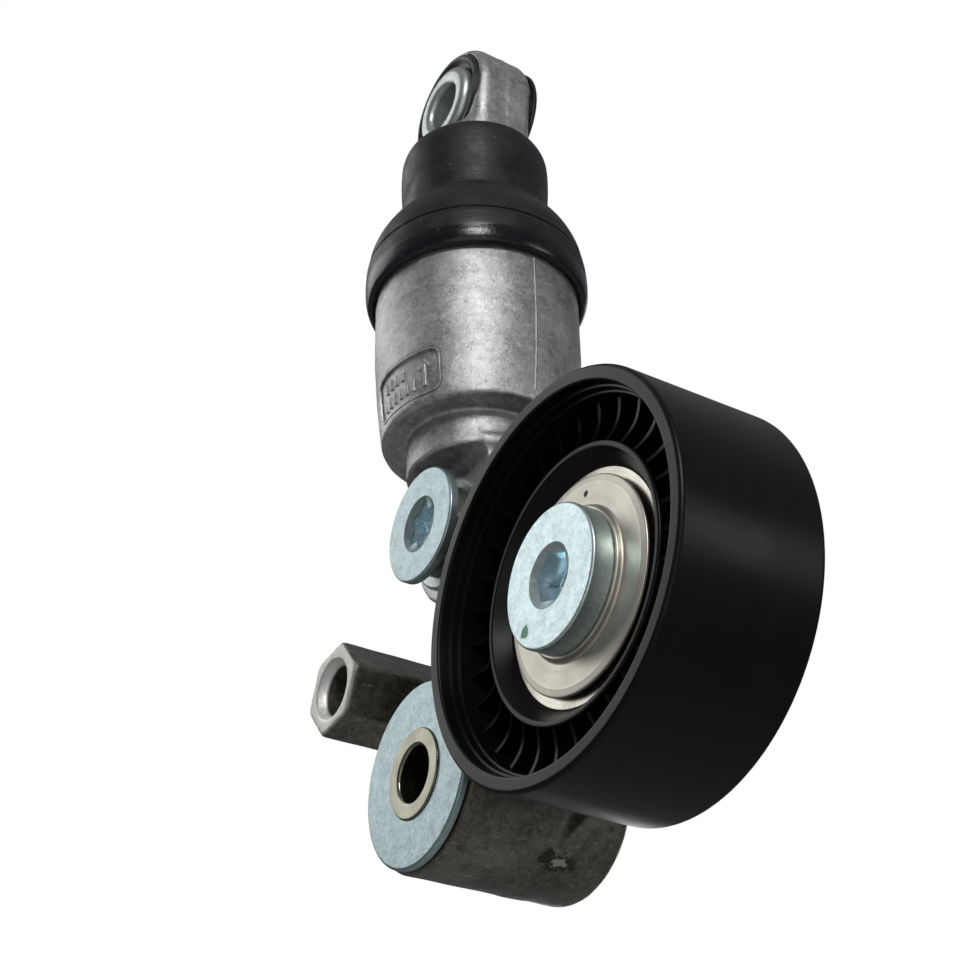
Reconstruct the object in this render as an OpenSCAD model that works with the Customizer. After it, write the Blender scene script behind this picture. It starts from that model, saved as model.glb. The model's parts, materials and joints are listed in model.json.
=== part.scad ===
// Hydraulic belt tensioner with its idler pulley, in millimetres.
// The origin is the centre of the pivot sleeve's front end. +Z runs up along the
// strut, +Y runs away from the front, along every pivot axis, and the pulley is at +X.

/* [Layout] */
// Pulley axis to the right of the pivot axis
pulley_x = 57; // [56:0.5:62]
// Pulley axis above the pivot axis
pulley_z = 10; // [6:0.5:14]
// Strut axis to the right of the pivot axis
strut_x = 18; // [14:0.5:18]
// Lower strut bolt above the pivot axis
strut_z = 40; // [40:0.5:46]
// Distance between the two eyes of the extended strut
strut_length = 108; // [106:0.5:116]
// Depth of the belt's middle plane behind the sleeve's front end
belt_plane_y = 4; // [3:0.5:6]

/* [Pulley] */
// Outer diameter of the pulley
pulley_d = 70; // [66:0.5:72]
// Width of the pulley
pulley_w = 27.5; // [26:0.5:29]
// Thickness of the pulley's rim
rim_wall = 2.8; // [2.4:0.1:3.4]
// Ribs on each side of the pulley's web
rib_count = 32; // [24:1:40]
// Thickness of one rib
rib_w = 0.9; // [0.7:0.1:1.4]

/* [Bearing] */
// Outer diameter of the ball bearing
bearing_od = 40; // [38:1:40]
// Bore of the ball bearing
bearing_id = 17; // [15:1:17]
// Width of the ball bearing
bearing_w = 12; // [11:0.5:13]
// Diameter of one ball
ball_d = 6.75; // [6:0.25:7]
// Number of balls
ball_count = 8; // [6:1:9]

/* [Pivot] */
// Length of the pivot sleeve
sleeve_length = 37; // [34:0.5:42]
// Bore of the pivot sleeve, for an M10 bolt
sleeve_bore = 10.4; // [10.2:0.1:11]
// Outer diameter of the pivot sleeve
sleeve_od = 16.8; // [16:0.2:18]
// Outer diameter of the arm's pivot barrel
barrel_d = 35.6; // [34:0.2:37]
// Size across the flats of the wrench hexagon
hex_af = 17; // [15:1:18]

/* [Strut] */
// Outer diameter of the cast strut housing
housing_d = 40.8; // [39:0.2:42]
// Outer diameter of the boot's lip
boot_d = 45.4; // [44:0.2:47]
// Outer diameter of the boot's collar
collar_d = 31.2; // [30:0.2:33]
// Bore of the steel sleeve in the top eye, for an M10 bolt
eye_bore = 10.2; // [10:0.1:10.6]
// Outer diameter of the steel sleeve in the top eye
eye_sleeve_d = 18.4; // [17.4:0.2:19]
// How far the strut can be pushed in from its extended length
stroke = 12; // [8:1:12]

/* [Hidden] */

$fn = 96;
slit = 0.02;              // running clearance of a bush on its shaft, on the radius
gap = 0.3;                // space between parts that move past each other

// Depths (Y) of the pulley, its bearing and its bolt
pulley_r = pulley_d / 2;
pulley_front = belt_plane_y - pulley_w / 2;
pulley_rear = belt_plane_y + pulley_w / 2;
rim_in = pulley_r - rim_wall;
hub_r = bearing_od / 2 + 3.7;
hub_front = pulley_front + 4.7;
hub_rear = pulley_rear - 4.7;
web_front = belt_plane_y - 2;
web_rear = belt_plane_y + 2;
bearing_front = belt_plane_y - bearing_w / 2;
bearing_rear = belt_plane_y + bearing_w / 2;
ring_wall = 3.1;          // thickness of each bearing ring at its shoulder
pitch_r = (bearing_od + bearing_id) / 4;
groove_r = ball_d / 2 + 0.03;
head_face = pulley_front + 0.9;
head_h = 4;
head_r = 12.2;
shield_r = 18.5;

// Depths of the arm
arm_front = pulley_rear + 2.7;
arm_rear = arm_front + 9;
arm_boss_front = bearing_rear + 2.4;
barrel_front = 2.2;
barrel_rear = sleeve_length - 1.9;
barrel_end = sleeve_length - 0.4;
rear_washer_r = 15;
barrel_r = barrel_d / 2;
bush_r = sleeve_od / 2 + 1.5;
pulley_boss_r = 13;
strut_boss_r = 12;

// Wrench hexagon on the arm
hex_x = -27.5;
hex_z = 28;
hex_front = -2.5;
hex_r = hex_af / 2 / cos(30);
hex_turn = 8;

// Lower eye of the strut, on the arm's strut bolt
lug_front = belt_plane_y - 6;
lug_rear = belt_plane_y + 8;
lower_eye_r = 13;
lower_bush_r = 9;
bush_flange_r = 10.8;
bush_flange_front = lug_front - 1.8;
bolt_sleeve_r = 7;
sleeve_collar_r = 8.6;
strut_head_r = 11;
strut_head_h = 1.8;
strut_head_face = belt_plane_y - 13.5;
strut_head_seat = strut_head_face + strut_head_h;

// Heights (Z) on the strut, from the lower strut bolt
neck_r = 14;
neck_z = strut_z + 13.4;
shoulder_z = strut_z + 21;
shoulder_r = 18.2;
housing_r = housing_d / 2;
housing_top = strut_z + 62;
housing_bore = housing_r - 3;
floor_z = strut_z + 25;
panel_z = strut_z + 27.5;   // middle of the sunk panel
panel_w = 17;
panel_h = 12;
panel_deep = 0.5;
panel_turn = -77;
lip_z = strut_z + 54.5;
boot_r = boot_d / 2;
dome_z = strut_z + 76;
collar_top = strut_z + 94.5;
collar_r = collar_d / 2;
boot_wall = 2.2;

// Top eye
eye_z = strut_z + strut_length;
top_eye_r = 14;
top_eye_w = 14;
top_eye_front = belt_plane_y - top_eye_w / 2;
top_eye_rear = belt_plane_y + top_eye_w / 2;
top_bush_r = 12.3;
eye_sleeve_l = 17;
eye_sleeve_front = belt_plane_y - eye_sleeve_l / 2 + 0.2;
stem_r = 12.2;
flange_r = 14.6;
flange_z = strut_z + 71;

// Hydraulic element and main spring
cylinder_r = 7.5;
cylinder_bore = 6;
cylinder_top = flange_z - stroke - 1;
rod_r = 4;
piston_h = 10;
guide_h = 4;
piston_top = cylinder_top - guide_h - 0.1;
coil_r = 12.3;
wire_r = 1.5;
coil_turns = 5.5;
coil_bottom = floor_z + 2;
coil_top = flange_z - 2.2;

// A round bar along Y from y0 to y1
module bar_y(r, y0, y1, x = 0, z = 0) {
    translate([x, y0, z]) rotate([-90, 0, 0]) cylinder(r = r, h = y1 - y0);
}

// A ring along Y, drilled right through
module ring_y(r, bore, y0, y1, x = 0, z = 0) {
    difference() {
        bar_y(r, y0, y1, x, z);
        bar_y(bore, y0 - 1, y1 + 1, x, z);
    }
}

// A flat outline, drawn in X and Z, made thick from y0 to y1
module plate_y(y0, y1) {
    translate([0, y1, 0]) rotate([90, 0, 0]) linear_extrude(height = y1 - y0) children();
}

// A profile of [radius, depth] points turned about a Y axis at x, z
module turned_y(points, x = 0, z = 0) {
    translate([x, 0, z]) rotate([-90, 0, 0]) rotate_extrude() polygon(points);
}

// A profile of [radius, height] points turned about the strut's axis
module turned_z(points) {
    translate([strut_x, belt_plane_y, 0]) rotate_extrude() polygon(points);
}

// Points of an arc about [cx, cy] from angle a0 to a1
function arc(cx, cy, r, a0, a1, n = 8) =
    [for (i = [0:n]) let (a = a0 + (a1 - a0) * i / n) [cx + r * cos(a), cy + r * sin(a)]];

// Outline of a bar with round ends, tapering from radius ra to rb
module link(a, ra, b, rb) {
    dir = atan2(b[1] - a[1], b[0] - a[0]);
    lean = acos((ra - rb) / norm(b - a));
    polygon(concat(arc(a[0], a[1], ra, dir + lean, dir + 360 - lean, 24),
                   arc(b[0], b[1], rb, dir - lean, dir + lean, 24)));
}

// ---------------------------------------------------------------- pivot

// Steel sleeve that the M10 bolt clamps to the engine
module pivot_sleeve() {
    r = sleeve_od / 2;
    c = 0.3;
    color("tan") turned_y([[sleeve_bore / 2, 0], [r - c, 0], [r, c], [r, sleeve_length - c],
        [r - c, sleeve_length], [sleeve_bore / 2, sleeve_length]]);
}

// Zinc-plated thrust washer at the front end of the barrel
module pivot_washer_front() {
    color("lightsteelblue") turned_y([[sleeve_od / 2, 0.4], [17, 0.4], [17.3, 0.7], [17.3, 1.9],
        [sleeve_od / 2, 1.9]]);
}

// Zinc-plated thrust washer at the rear end, which bears on the engine
module pivot_washer_rear() {
    color("lightsteelblue") ring_y(rear_washer_r, sleeve_od / 2, sleeve_length - 1.5, sleeve_length);
}

// Plain bush pressed into one end of the barrel
module plain_bush(y0, y1) {
    color("dimgray") ring_y(bush_r, sleeve_od / 2 + slit, y0, y1);
}
module pivot_bush_front() plain_bush(barrel_front + 0.2, barrel_front + 14);
module pivot_bush_rear() plain_bush(barrel_rear - 14, barrel_rear - 0.2);

// Rubber ring in a groove in the barrel's end face, against the washer
module face_seal(y0, y1) {
    color("black") ring_y(14.8, 13.2, y0, y1);
}
module pivot_seal_front() face_seal(barrel_front - 0.2, barrel_front + 1.4);
module pivot_seal_rear() face_seal(barrel_rear - 1.4, barrel_rear + 0.2);

// ---------------------------------------------------------------- arm

// Outline of the arm behind the pulley and the strut
module arm_outline() {
    link([0, 0], barrel_r - 1.4, [pulley_x, pulley_z], pulley_boss_r - 1.5);
    link([0, 0], barrel_r - 1.8, [strut_x, strut_z], strut_boss_r - 1.5);
    link([strut_x, strut_z], strut_boss_r - 1.8, [pulley_x, pulley_z], pulley_boss_r - 1.8);
    link([0, 0], 12, [hex_x, hex_z], hex_r + 0.8);
}

// Die-cast lever with barrel, pulley boss, strut boss and wrench hexagon
module lever_arm() {
    color("rosybrown") difference() {
        union() {
            turned_y(concat([[0, barrel_front], [barrel_r - 0.8, barrel_front], [barrel_r, barrel_front + 0.8]],
                arc(barrel_r - 2.3, barrel_end - 2.3, 2.3, 0, 90), [[0, barrel_end]]));
            plate_y(arm_front + 2.5, arm_rear - 2.5) arm_outline();
            plate_y(arm_front, arm_rear) {
                link([0, 0], 10.5, [pulley_x, pulley_z], 8);
                link([0, 0], 10, [strut_x, strut_z], 7);
                link([0, 0], 9.5, [hex_x, hex_z], 6);
            }
            bar_y(strut_boss_r, lug_rear + gap, arm_rear + 1, strut_x, strut_z);
            turned_y([[0, arm_boss_front], [pulley_boss_r - 2, arm_boss_front], [pulley_boss_r, arm_front],
                [pulley_boss_r, arm_rear + 1], [0, arm_rear + 1]], pulley_x, pulley_z);
            plate_y(hex_front, arm_rear + 0.7) polygon([for (i = [0:5])
                [hex_x + hex_r * cos(60 * i + hex_turn), hex_z + hex_r * sin(60 * i + hex_turn)]]);
        }
        bar_y(bush_r, barrel_front + 0.2, barrel_front + 14);
        bar_y(bush_r, barrel_rear - 14, barrel_rear - 0.2);
        bar_y(sleeve_od / 2 + 0.6, barrel_front - 1, barrel_rear + 1);
        bar_y(rear_washer_r + 0.4, barrel_rear, barrel_end + 1);
        ring_y(14.8, 13.2, barrel_front - 1, barrel_front + 1.4);
        ring_y(14.8, 13.2, barrel_rear - 1.4, barrel_rear + 1);
        bar_y(5, lug_rear, arm_rear + 2, strut_x, strut_z);
        bar_y(5, arm_boss_front - 1, arm_rear + 2, pulley_x, pulley_z);
        turned_y([[0, hex_front - 1], [7.4, hex_front - 1], [5.2, hex_front + 1.2],
            [5, hex_front + 16], [0, hex_front + 16]], hex_x, hex_z);
    }
}

// ---------------------------------------------------------------- pulley group

// M10 bolt with a large round head and a hexagon socket
module pulley_bolt() {
    c = 0.5;
    color("lightsteelblue") difference() {
        turned_y([[0, head_face], [head_r - c, head_face], [head_r, head_face + c],
            [head_r, head_face + head_h], [bearing_id / 2, head_face + head_h],
            [bearing_id / 2, bearing_rear - 1], [5, bearing_rear - 1],
            [5, arm_rear - 1], [0, arm_rear - 1]], pulley_x, pulley_z);
        translate([pulley_x, head_face - 1, pulley_z]) rotate([-90, 10, 0])
            cylinder(r = 4 / cos(30), h = 6, $fn = 6);
        turned_y([[0, head_face - 1], [5.6, head_face - 1], [5, head_face + 0.6], [0, head_face + 3]],
            pulley_x, pulley_z);
    }
}

// Pressed steel shield between the bolt head and the inner ring
module dust_shield_front() {
    y = head_face + head_h;
    color("beige") turned_y([[bearing_id / 2, y], [12.6, y], [12.9, y + 0.3], [12.9, y + 1.1],
        [shield_r - 0.4, y + 1.3], [shield_r, y + 1.6], [shield_r, y + 2],
        [11.4, y + 2], [11.4, bearing_front], [bearing_id / 2, bearing_front]], pulley_x, pulley_z);
}

// Pressed steel shield between the inner ring and the arm's boss
module dust_shield_rear() {
    color("beige") turned_y([[5, bearing_rear], [11.4, bearing_rear], [11.4, bearing_rear + 0.8],
        [shield_r, bearing_rear + 0.8], [shield_r, bearing_rear + 1.6], [11.2, bearing_rear + 2.4],
        [5, bearing_rear + 2.4]], pulley_x, pulley_z);
}

// Inner ring of the ball bearing, with its groove
module bearing_inner_ring() {
    color("silver") difference() {
        ring_y(bearing_id / 2 + ring_wall, bearing_id / 2, bearing_front, bearing_rear, pulley_x, pulley_z);
        translate([pulley_x, belt_plane_y, pulley_z]) rotate([-90, 0, 0]) rotate_extrude()
            translate([pitch_r, 0]) circle(groove_r);
    }
}

// Outer ring of the ball bearing, with its groove
module bearing_outer_ring() {
    color("silver") difference() {
        ring_y(bearing_od / 2, bearing_od / 2 - ring_wall, bearing_front, bearing_rear, pulley_x, pulley_z);
        translate([pulley_x, belt_plane_y, pulley_z]) rotate([-90, 0, 0]) rotate_extrude()
            translate([pitch_r, 0]) circle(groove_r);
    }
}

// Rubber lip seal clipped into the outer ring
module bearing_seal(y0, y1) {
    color("saddlebrown")
        ring_y(bearing_od / 2 - ring_wall, bearing_id / 2 + ring_wall + 0.1, y0, y1, pulley_x, pulley_z);
}
module bearing_seal_front() bearing_seal(bearing_front + 0.3, bearing_front + 1.3);
module bearing_seal_rear() bearing_seal(bearing_rear - 1.3, bearing_rear - 0.3);

// Balls of the bearing
module bearing_balls() {
    color("silver") for (i = [0:ball_count - 1])
        translate([pulley_x, belt_plane_y, pulley_z]) rotate([0, i * 360 / ball_count, 0])
            translate([pitch_r, 0, 0]) sphere(d = ball_d);
}

// Cage that spaces the balls
module bearing_cage() {
    color("ivory") difference() {
        ring_y(pitch_r + 1.6, pitch_r - 1.6, belt_plane_y - 4.2, belt_plane_y + 4.2, pulley_x, pulley_z);
        for (i = [0:ball_count - 1])
            translate([pulley_x, belt_plane_y, pulley_z]) rotate([0, i * 360 / ball_count, 0])
                translate([pitch_r, 0, 0]) sphere(d = ball_d + 0.1);
    }
}

// Moulded pulley: rim, web and hub, ribbed on both sides
module pulley_wheel() {
    e = 0.8;
    color("#202022") union() {
        turned_y([[pulley_r - e, pulley_front], [pulley_r, pulley_front + e], [pulley_r, pulley_rear - e],
            [pulley_r - e, pulley_rear], [rim_in, pulley_rear], [rim_in, pulley_rear - 2],
            [rim_in - 0.4, pulley_rear - 2], [rim_in - 0.4, pulley_rear - 3.5],
            [rim_in - 0.8, pulley_rear - 3.5], [rim_in - 1.2, web_rear], [hub_r, web_rear],
            [hub_r, hub_rear], [hub_r - 1, hub_rear], [bearing_od / 2 + 0.2, bearing_rear],
            [bearing_od / 2, bearing_rear],
            [bearing_od / 2, bearing_front], [bearing_od / 2 + 0.2, bearing_front],
            [hub_r - 1, hub_front], [hub_r, hub_front], [hub_r, web_front], [rim_in - 1.2, web_front],
            [rim_in - 0.8, pulley_front + 3.5], [rim_in - 0.4, pulley_front + 3.5],
            [rim_in - 0.4, pulley_front + 2], [rim_in, pulley_front + 2], [rim_in, pulley_front]],
            pulley_x, pulley_z);
        for (i = [0:rib_count - 1])
            translate([pulley_x, 0, pulley_z]) rotate([0, (i + 0.5) * 360 / rib_count, 0])
                translate([hub_r - 0.5, pulley_front + 5.1, -rib_w / 2])
                    cube([rim_in - hub_r - 0.2, pulley_w - 10.2, rib_w]);
    }
}

// ---------------------------------------------------------------- strut, lower part

// Flat-headed bolt with a six-lobed socket, screwed into the arm
module strut_bolt() {
    c = 0.5;
    color("lightsteelblue") difference() {
        turned_y([[0, strut_head_face], [strut_head_r - c, strut_head_face],
            [strut_head_r, strut_head_face + c], [strut_head_r, strut_head_seat], [5, strut_head_seat],
            [5, arm_rear - 1], [0, arm_rear - 1]], strut_x, strut_z);
        plate_y(strut_head_face - 1, strut_head_face + 5) translate([strut_x, strut_z]) difference() {
            circle(4.4);
            for (i = [0:5]) rotate(i * 60 + 20) translate([5.25, 0]) circle(1.6);
        }
        turned_y([[0, strut_head_face - 1], [5.4, strut_head_face - 1], [4.4, strut_head_face + 0.6],
            [0, strut_head_face + 2]], strut_x, strut_z);
    }
}

// Steel sleeve on the strut bolt, clamped between its head and the arm, with a collar at the front
module strut_bolt_sleeve() {
    color("silver") turned_y([[5, strut_head_seat], [sleeve_collar_r, strut_head_seat],
        [sleeve_collar_r, bush_flange_front - gap], [bolt_sleeve_r, bush_flange_front - gap],
        [bolt_sleeve_r, lug_rear + gap], [5, lug_rear + gap]], strut_x, strut_z);
}

// Flanged plain bush in the strut's lower eye
module strut_bush() {
    color("silver") turned_y([[bolt_sleeve_r + slit, bush_flange_front], [bush_flange_r, bush_flange_front],
        [bush_flange_r, lug_front], [lower_bush_r, lug_front],
        [lower_bush_r, lug_rear - 0.1], [bolt_sleeve_r + slit, lug_rear - 0.1]], strut_x, strut_z);
}

// Die-cast strut housing with its lower eye
module strut_housing() {
    color("silver") difference() {
        union() {
            turned_z(concat([[0, neck_z], [neck_r - 0.8, neck_z], [neck_r, neck_z + 0.8], [neck_r, shoulder_z - 0.6],
                [shoulder_r - 1.2, shoulder_z]], arc(shoulder_r - 1.2, shoulder_z + 1.2, 1.2, -90, -10),
                [[housing_r - 1.1, shoulder_z + 6], [housing_r - 0.4, shoulder_z + 12], [housing_r, shoulder_z + 20],
                [housing_r, housing_top - 1], [housing_r - 1, housing_top], [0, housing_top]]));
            bar_y(lower_eye_r, lug_front, lug_rear, strut_x, strut_z);
            plate_y(lug_front, lug_rear) translate([strut_x, strut_z])
                polygon([[-11.5, 0], [11.5, 0], [13.2, neck_z - strut_z + 1], [-13.2, neck_z - strut_z + 1]]);
        }
        bar_y(lower_bush_r, lug_front - 1, lug_rear + 1, strut_x, strut_z);
        turned_z([[0, floor_z], [housing_bore, floor_z], [housing_bore, housing_top + 1], [0, housing_top + 1]]);
        translate([strut_x, belt_plane_y, floor_z - 2]) cylinder(r = cylinder_r, h = 4);
        name_panel();
    }
}

// Shallow rounded panel sunk in the housing's front, following its taper, with a raised arrow
module name_panel() {
    w = panel_w / 2;
    h = panel_h / 2;
    c = 2;
    intersection() {
        translate([strut_x, belt_plane_y, panel_z]) rotate([0, 0, panel_turn]) rotate([90, 0, 90])
            linear_extrude(height = housing_r + 2) difference() {
                polygon(concat(arc(w - c, h - c, c, 0, 90), arc(c - w, h - c, c, 90, 180),
                    arc(c - w, c - h, c, 180, 270), arc(w - c, c - h, c, 270, 360)));
                translate([3.4, -3]) square([1, 4]);
                polygon([[2, 0.6], [3.9, 3.6], [5.8, 0.6]]);
            }
        turned_z([[housing_r - 2 - panel_deep, shoulder_z], [housing_r - 1.1 - panel_deep, shoulder_z + 6],
            [housing_r - 0.4 - panel_deep, shoulder_z + 12], [housing_r - panel_deep, shoulder_z + 20],
            [housing_r + 1, shoulder_z + 20], [housing_r + 1, shoulder_z]]);
    }
}

// Steel cylinder of the hydraulic element
module pressure_cylinder() {
    color("gray") turned_z([[cylinder_bore, floor_z - 2], [cylinder_r, floor_z - 2],
        [cylinder_r, cylinder_top], [cylinder_bore, cylinder_top]]);
}

// Guide ring for the rod at the top of the cylinder
module rod_guide() {
    color("peru") turned_z([[rod_r + slit, cylinder_top - guide_h], [cylinder_bore, cylinder_top - guide_h],
        [cylinder_bore, cylinder_top], [rod_r + slit, cylinder_top]]);
}

// Seat of the check valve at the bottom of the cylinder
module check_valve_seat() {
    color("gray") turned_z([[1.5, floor_z - 2], [cylinder_bore, floor_z - 2], [cylinder_bore, floor_z + 1],
        [2, floor_z + 1], [1.5, floor_z]]);
}

// Ball of the check valve
module check_valve_ball() {
    color("silver") translate([strut_x, belt_plane_y, floor_z + 2.4]) sphere(r = 2);
}

// A coil of round wire about the strut's axis, swept as one closed tube
module coil(radius, wire, turns, z0, z1, steps = 24, sides = 8) {
    n = round(turns * steps);
    points = [for (i = [0:n], j = [0:sides - 1])
        let (a = i * 360 / steps, b = j * 360 / sides, r = radius + wire * cos(b))
        [r * cos(a), r * sin(a), z0 + (z1 - z0) * i / n + wire * sin(b)]];
    sides_faces = [for (i = [0:n - 1], j = [0:sides - 1])
        let (k = (j + 1) % sides)
        [i * sides + j, i * sides + k, (i + 1) * sides + k, (i + 1) * sides + j]];
    ends = [[for (j = [sides - 1:-1:0]) j], [for (j = [0:sides - 1]) n * sides + j]];
    translate([strut_x, belt_plane_y, 0]) polyhedron(points, concat(sides_faces, ends));
}

// Pressed cap that keeps the check valve's spring over its ball
module check_valve_cage() {
    color("gray") turned_z([[2.4, floor_z + 1], [3.2, floor_z + 1], [3.2, floor_z + 9], [0.8, floor_z + 9],
        [0.8, floor_z + 8.6], [2.4, floor_z + 8.6]]);
}

// Light spring that holds the check ball on its seat
module check_valve_spring() {
    color("silver") coil(1.6, 0.3, 3, floor_z + 4.8, floor_z + 8.2, 16, 6);
}

// Flat steel ring under the main spring
module spring_seat_lower() {
    color("gray") turned_z([[cylinder_r + 0.4, floor_z], [housing_bore - 0.4, floor_z],
        [housing_bore - 0.4, floor_z + 0.4], [cylinder_r + 0.4, floor_z + 0.4]]);
}

// Main spring that pushes the strut out to tension the belt
module main_spring() {
    color("slategray") coil(coil_r, wire_r, coil_turns, coil_bottom, coil_top);
}

// ---------------------------------------------------------------- strut, upper part

// Die-cast top eye with its stem and spring flange
module top_eye() {
    color("silver") difference() {
        union() {
            bar_y(top_eye_r, top_eye_front, top_eye_rear, strut_x, eye_z);
            turned_z([[0, flange_z], [flange_r, flange_z], [flange_r, flange_z + 2],
                [stem_r, flange_z + 3], [stem_r, collar_top + gap], [0, collar_top + gap]]);
            plate_y(top_eye_front, top_eye_rear) translate([strut_x, 0]) polygon([[-10.5, collar_top + gap],
                [10.5, collar_top + gap], [12.6, eye_z - 5], [-12.6, eye_z - 5]]);
        }
        bar_y(top_bush_r, top_eye_front - 1, top_eye_rear + 1, strut_x, eye_z);
        translate([strut_x, belt_plane_y, flange_z - 1]) cylinder(r = rod_r, h = 14);
    }
}

// Black elastic bush in the top eye
module eye_bush() {
    lip_r = top_bush_r + 0.9;
    color("#252525") turned_y([[eye_sleeve_d / 2, top_eye_front - 0.2], [top_bush_r - 0.4, top_eye_front - 0.2],
        [top_bush_r, top_eye_front + 0.8], [top_bush_r, top_eye_rear], [lip_r, top_eye_rear],
        [lip_r, top_eye_rear + 1], [eye_sleeve_d / 2, top_eye_rear + 1]], strut_x, eye_z);
}

// Steel sleeve in the top eye, clamped by an M8 bolt
module eye_sleeve() {
    r = eye_sleeve_d / 2;
    c = 1.1;
    y0 = eye_sleeve_front;
    y1 = eye_sleeve_front + eye_sleeve_l;
    color("lightsteelblue") turned_y([[eye_bore / 2, y0 + c], [eye_bore / 2 + c, y0], [r - c - slit, y0],
        [r - slit, y0 + c], [r - slit, y1 - c], [r - c - slit, y1], [eye_bore / 2 + c, y1],
        [eye_bore / 2, y1 - c]], strut_x, eye_z);
}

// Rod that carries the piston, pressed into the top eye
module piston_rod() {
    color("lightgray")
        translate([strut_x, belt_plane_y, piston_top - 2]) cylinder(r = rod_r, h = flange_z + 13 - piston_top + 2);
}

// Piston on the end of the rod
module piston() {
    r = cylinder_bore - slit;
    bottom = piston_top - piston_h;
    color("gray") turned_z([[3.6, bottom], [r, bottom], [r, piston_top], [rod_r, piston_top],
        [rod_r, piston_top - 2], [0, piston_top - 2], [0, bottom + 6], [3.6, bottom + 6]]);
}

// Flat steel ring between the main spring and the top eye's flange
module spring_seat_upper() {
    color("gray") turned_z([[cylinder_r + 0.5, flange_z - 0.6], [flange_r - 0.2, flange_z - 0.6],
        [flange_r - 0.2, flange_z], [cylinder_r + 0.5, flange_z]]);
}

// Rubber boot that seals the oil space between the housing and the top eye
module boot() {
    t = boot_wall;
    color("#1c1f24") turned_z(concat(
        [[housing_r, lip_z], [boot_r - 0.8, lip_z]],
        arc(boot_r - 3, lip_z + 9, 3, 0, 30, 3),
        [[boot_r - 2.2, lip_z + 13.5], [boot_r - 4.4, lip_z + 18.2], [collar_r + 0.2, dome_z]],
        [[collar_r - 0.2, dome_z + 1], [collar_r, dome_z + 8]],
        arc(collar_r - 2.5, collar_top - 2.8, 2.5, 0, 75, 5),
        [[stem_r, collar_top]],
        [[stem_r, dome_z + 4], [collar_r - t, dome_z + 2], [collar_r - t + 0.6, dome_z - 0.6],
         [boot_r - 4.4 - t, lip_z + 16.2], [boot_r - 2.2 - t, lip_z + 12],
         [housing_r - 0.2, lip_z + 8.6], [housing_r, lip_z + 7.2]]));
}

pivot_sleeve();
pivot_washer_front();
pivot_washer_rear();
lever_arm();
pivot_bush_front();
pivot_bush_rear();
pivot_seal_front();
pivot_seal_rear();
pulley_bolt();
dust_shield_front();
dust_shield_rear();
bearing_inner_ring();
strut_bolt();
strut_bolt_sleeve();
pulley_wheel();
bearing_outer_ring();
bearing_seal_front();
bearing_seal_rear();
bearing_cage();
bearing_balls();
strut_housing();
strut_bush();
pressure_cylinder();
rod_guide();
check_valve_seat();
check_valve_ball();
check_valve_cage();
check_valve_spring();
spring_seat_lower();
top_eye();
eye_bush();
piston_rod();
piston();
spring_seat_upper();
boot();
main_spring();
eye_sleeve();
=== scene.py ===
"""The looks of a hydraulic belt tensioner with its idler pulley, built around its CAD frame.

Sizes are in millimetres in the code, in the frame's axes: +Z up along the strut, +Y from the front to
the engine, +X towards the pulley. Each finished mesh is scaled to metres when it is made.
"""

import functools
import json
import math

import bpy
import numpy as np
from bpy.props import FloatProperty, FloatVectorProperty, IntProperty, PointerProperty
from mathutils import Matrix, Vector


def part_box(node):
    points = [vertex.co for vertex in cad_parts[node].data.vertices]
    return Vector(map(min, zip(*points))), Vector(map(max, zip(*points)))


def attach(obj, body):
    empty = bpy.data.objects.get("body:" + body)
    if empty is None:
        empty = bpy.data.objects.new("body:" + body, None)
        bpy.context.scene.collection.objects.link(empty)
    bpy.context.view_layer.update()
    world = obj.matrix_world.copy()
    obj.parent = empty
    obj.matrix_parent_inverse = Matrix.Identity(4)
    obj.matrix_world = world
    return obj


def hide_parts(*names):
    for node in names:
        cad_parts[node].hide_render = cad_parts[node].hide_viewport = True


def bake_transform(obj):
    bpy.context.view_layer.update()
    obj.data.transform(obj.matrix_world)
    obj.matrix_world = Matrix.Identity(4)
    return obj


bl_info = {
    "name": "Belt tensioner",
    "version": (1, 0, 0),
    "blender": (4, 5, 0),
    "location": "View3D > Sidebar > Tensioner",
    "description": "Builds the castings, pulley, boot, bolts and studio of a hydraulic belt tensioner",
    "category": "Object",
}

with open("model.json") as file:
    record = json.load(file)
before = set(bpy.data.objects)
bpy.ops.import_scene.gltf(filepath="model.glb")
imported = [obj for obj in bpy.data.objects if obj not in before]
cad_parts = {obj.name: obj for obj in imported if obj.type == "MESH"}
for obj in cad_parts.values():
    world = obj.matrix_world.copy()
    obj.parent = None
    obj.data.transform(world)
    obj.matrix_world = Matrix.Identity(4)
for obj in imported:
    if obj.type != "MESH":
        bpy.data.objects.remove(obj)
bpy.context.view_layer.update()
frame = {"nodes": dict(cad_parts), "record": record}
BODIES = frame["record"]["behaviour"]["bodies"]
MM = 0.001
AROUND = 192            # points round a turned piece


# ---------------------------------------------------------------- frame sizes


def node_box(name):
    """Lowest and highest corner of a CAD node, in millimetres."""
    low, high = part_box(name)
    return np.array(low) / MM, np.array(high) / MM


def node_centre(name):
    """Middle of a CAD node's box, in millimetres."""
    low, high = node_box(name)
    return (low + high) / 2


def body_of_node(name):
    """Name of the body that a CAD node belongs to."""
    return next(body for body, nodes in BODIES.items() if name in nodes)


PULLEY = node_centre("pulley_wheel")
STRUT = node_centre("strut_housing")
BOLT = node_centre("strut_bolt")
EYE = node_centre("eye_sleeve")
PULLEY_AXIS, BOLT_AXIS, EYE_AXIS = ((spot[0], 0, spot[2]) for spot in (PULLEY, BOLT, EYE))
PIVOT_AXIS = (0, 0, 0)
HEXAGON = (-27.5, 28.0)     # axis of the wrench hexagon, x and z
GATE_SCAR = (9.5, 24, -15)  # where the arm's casting gate broke off


# ---------------------------------------------------------------- colours


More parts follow.
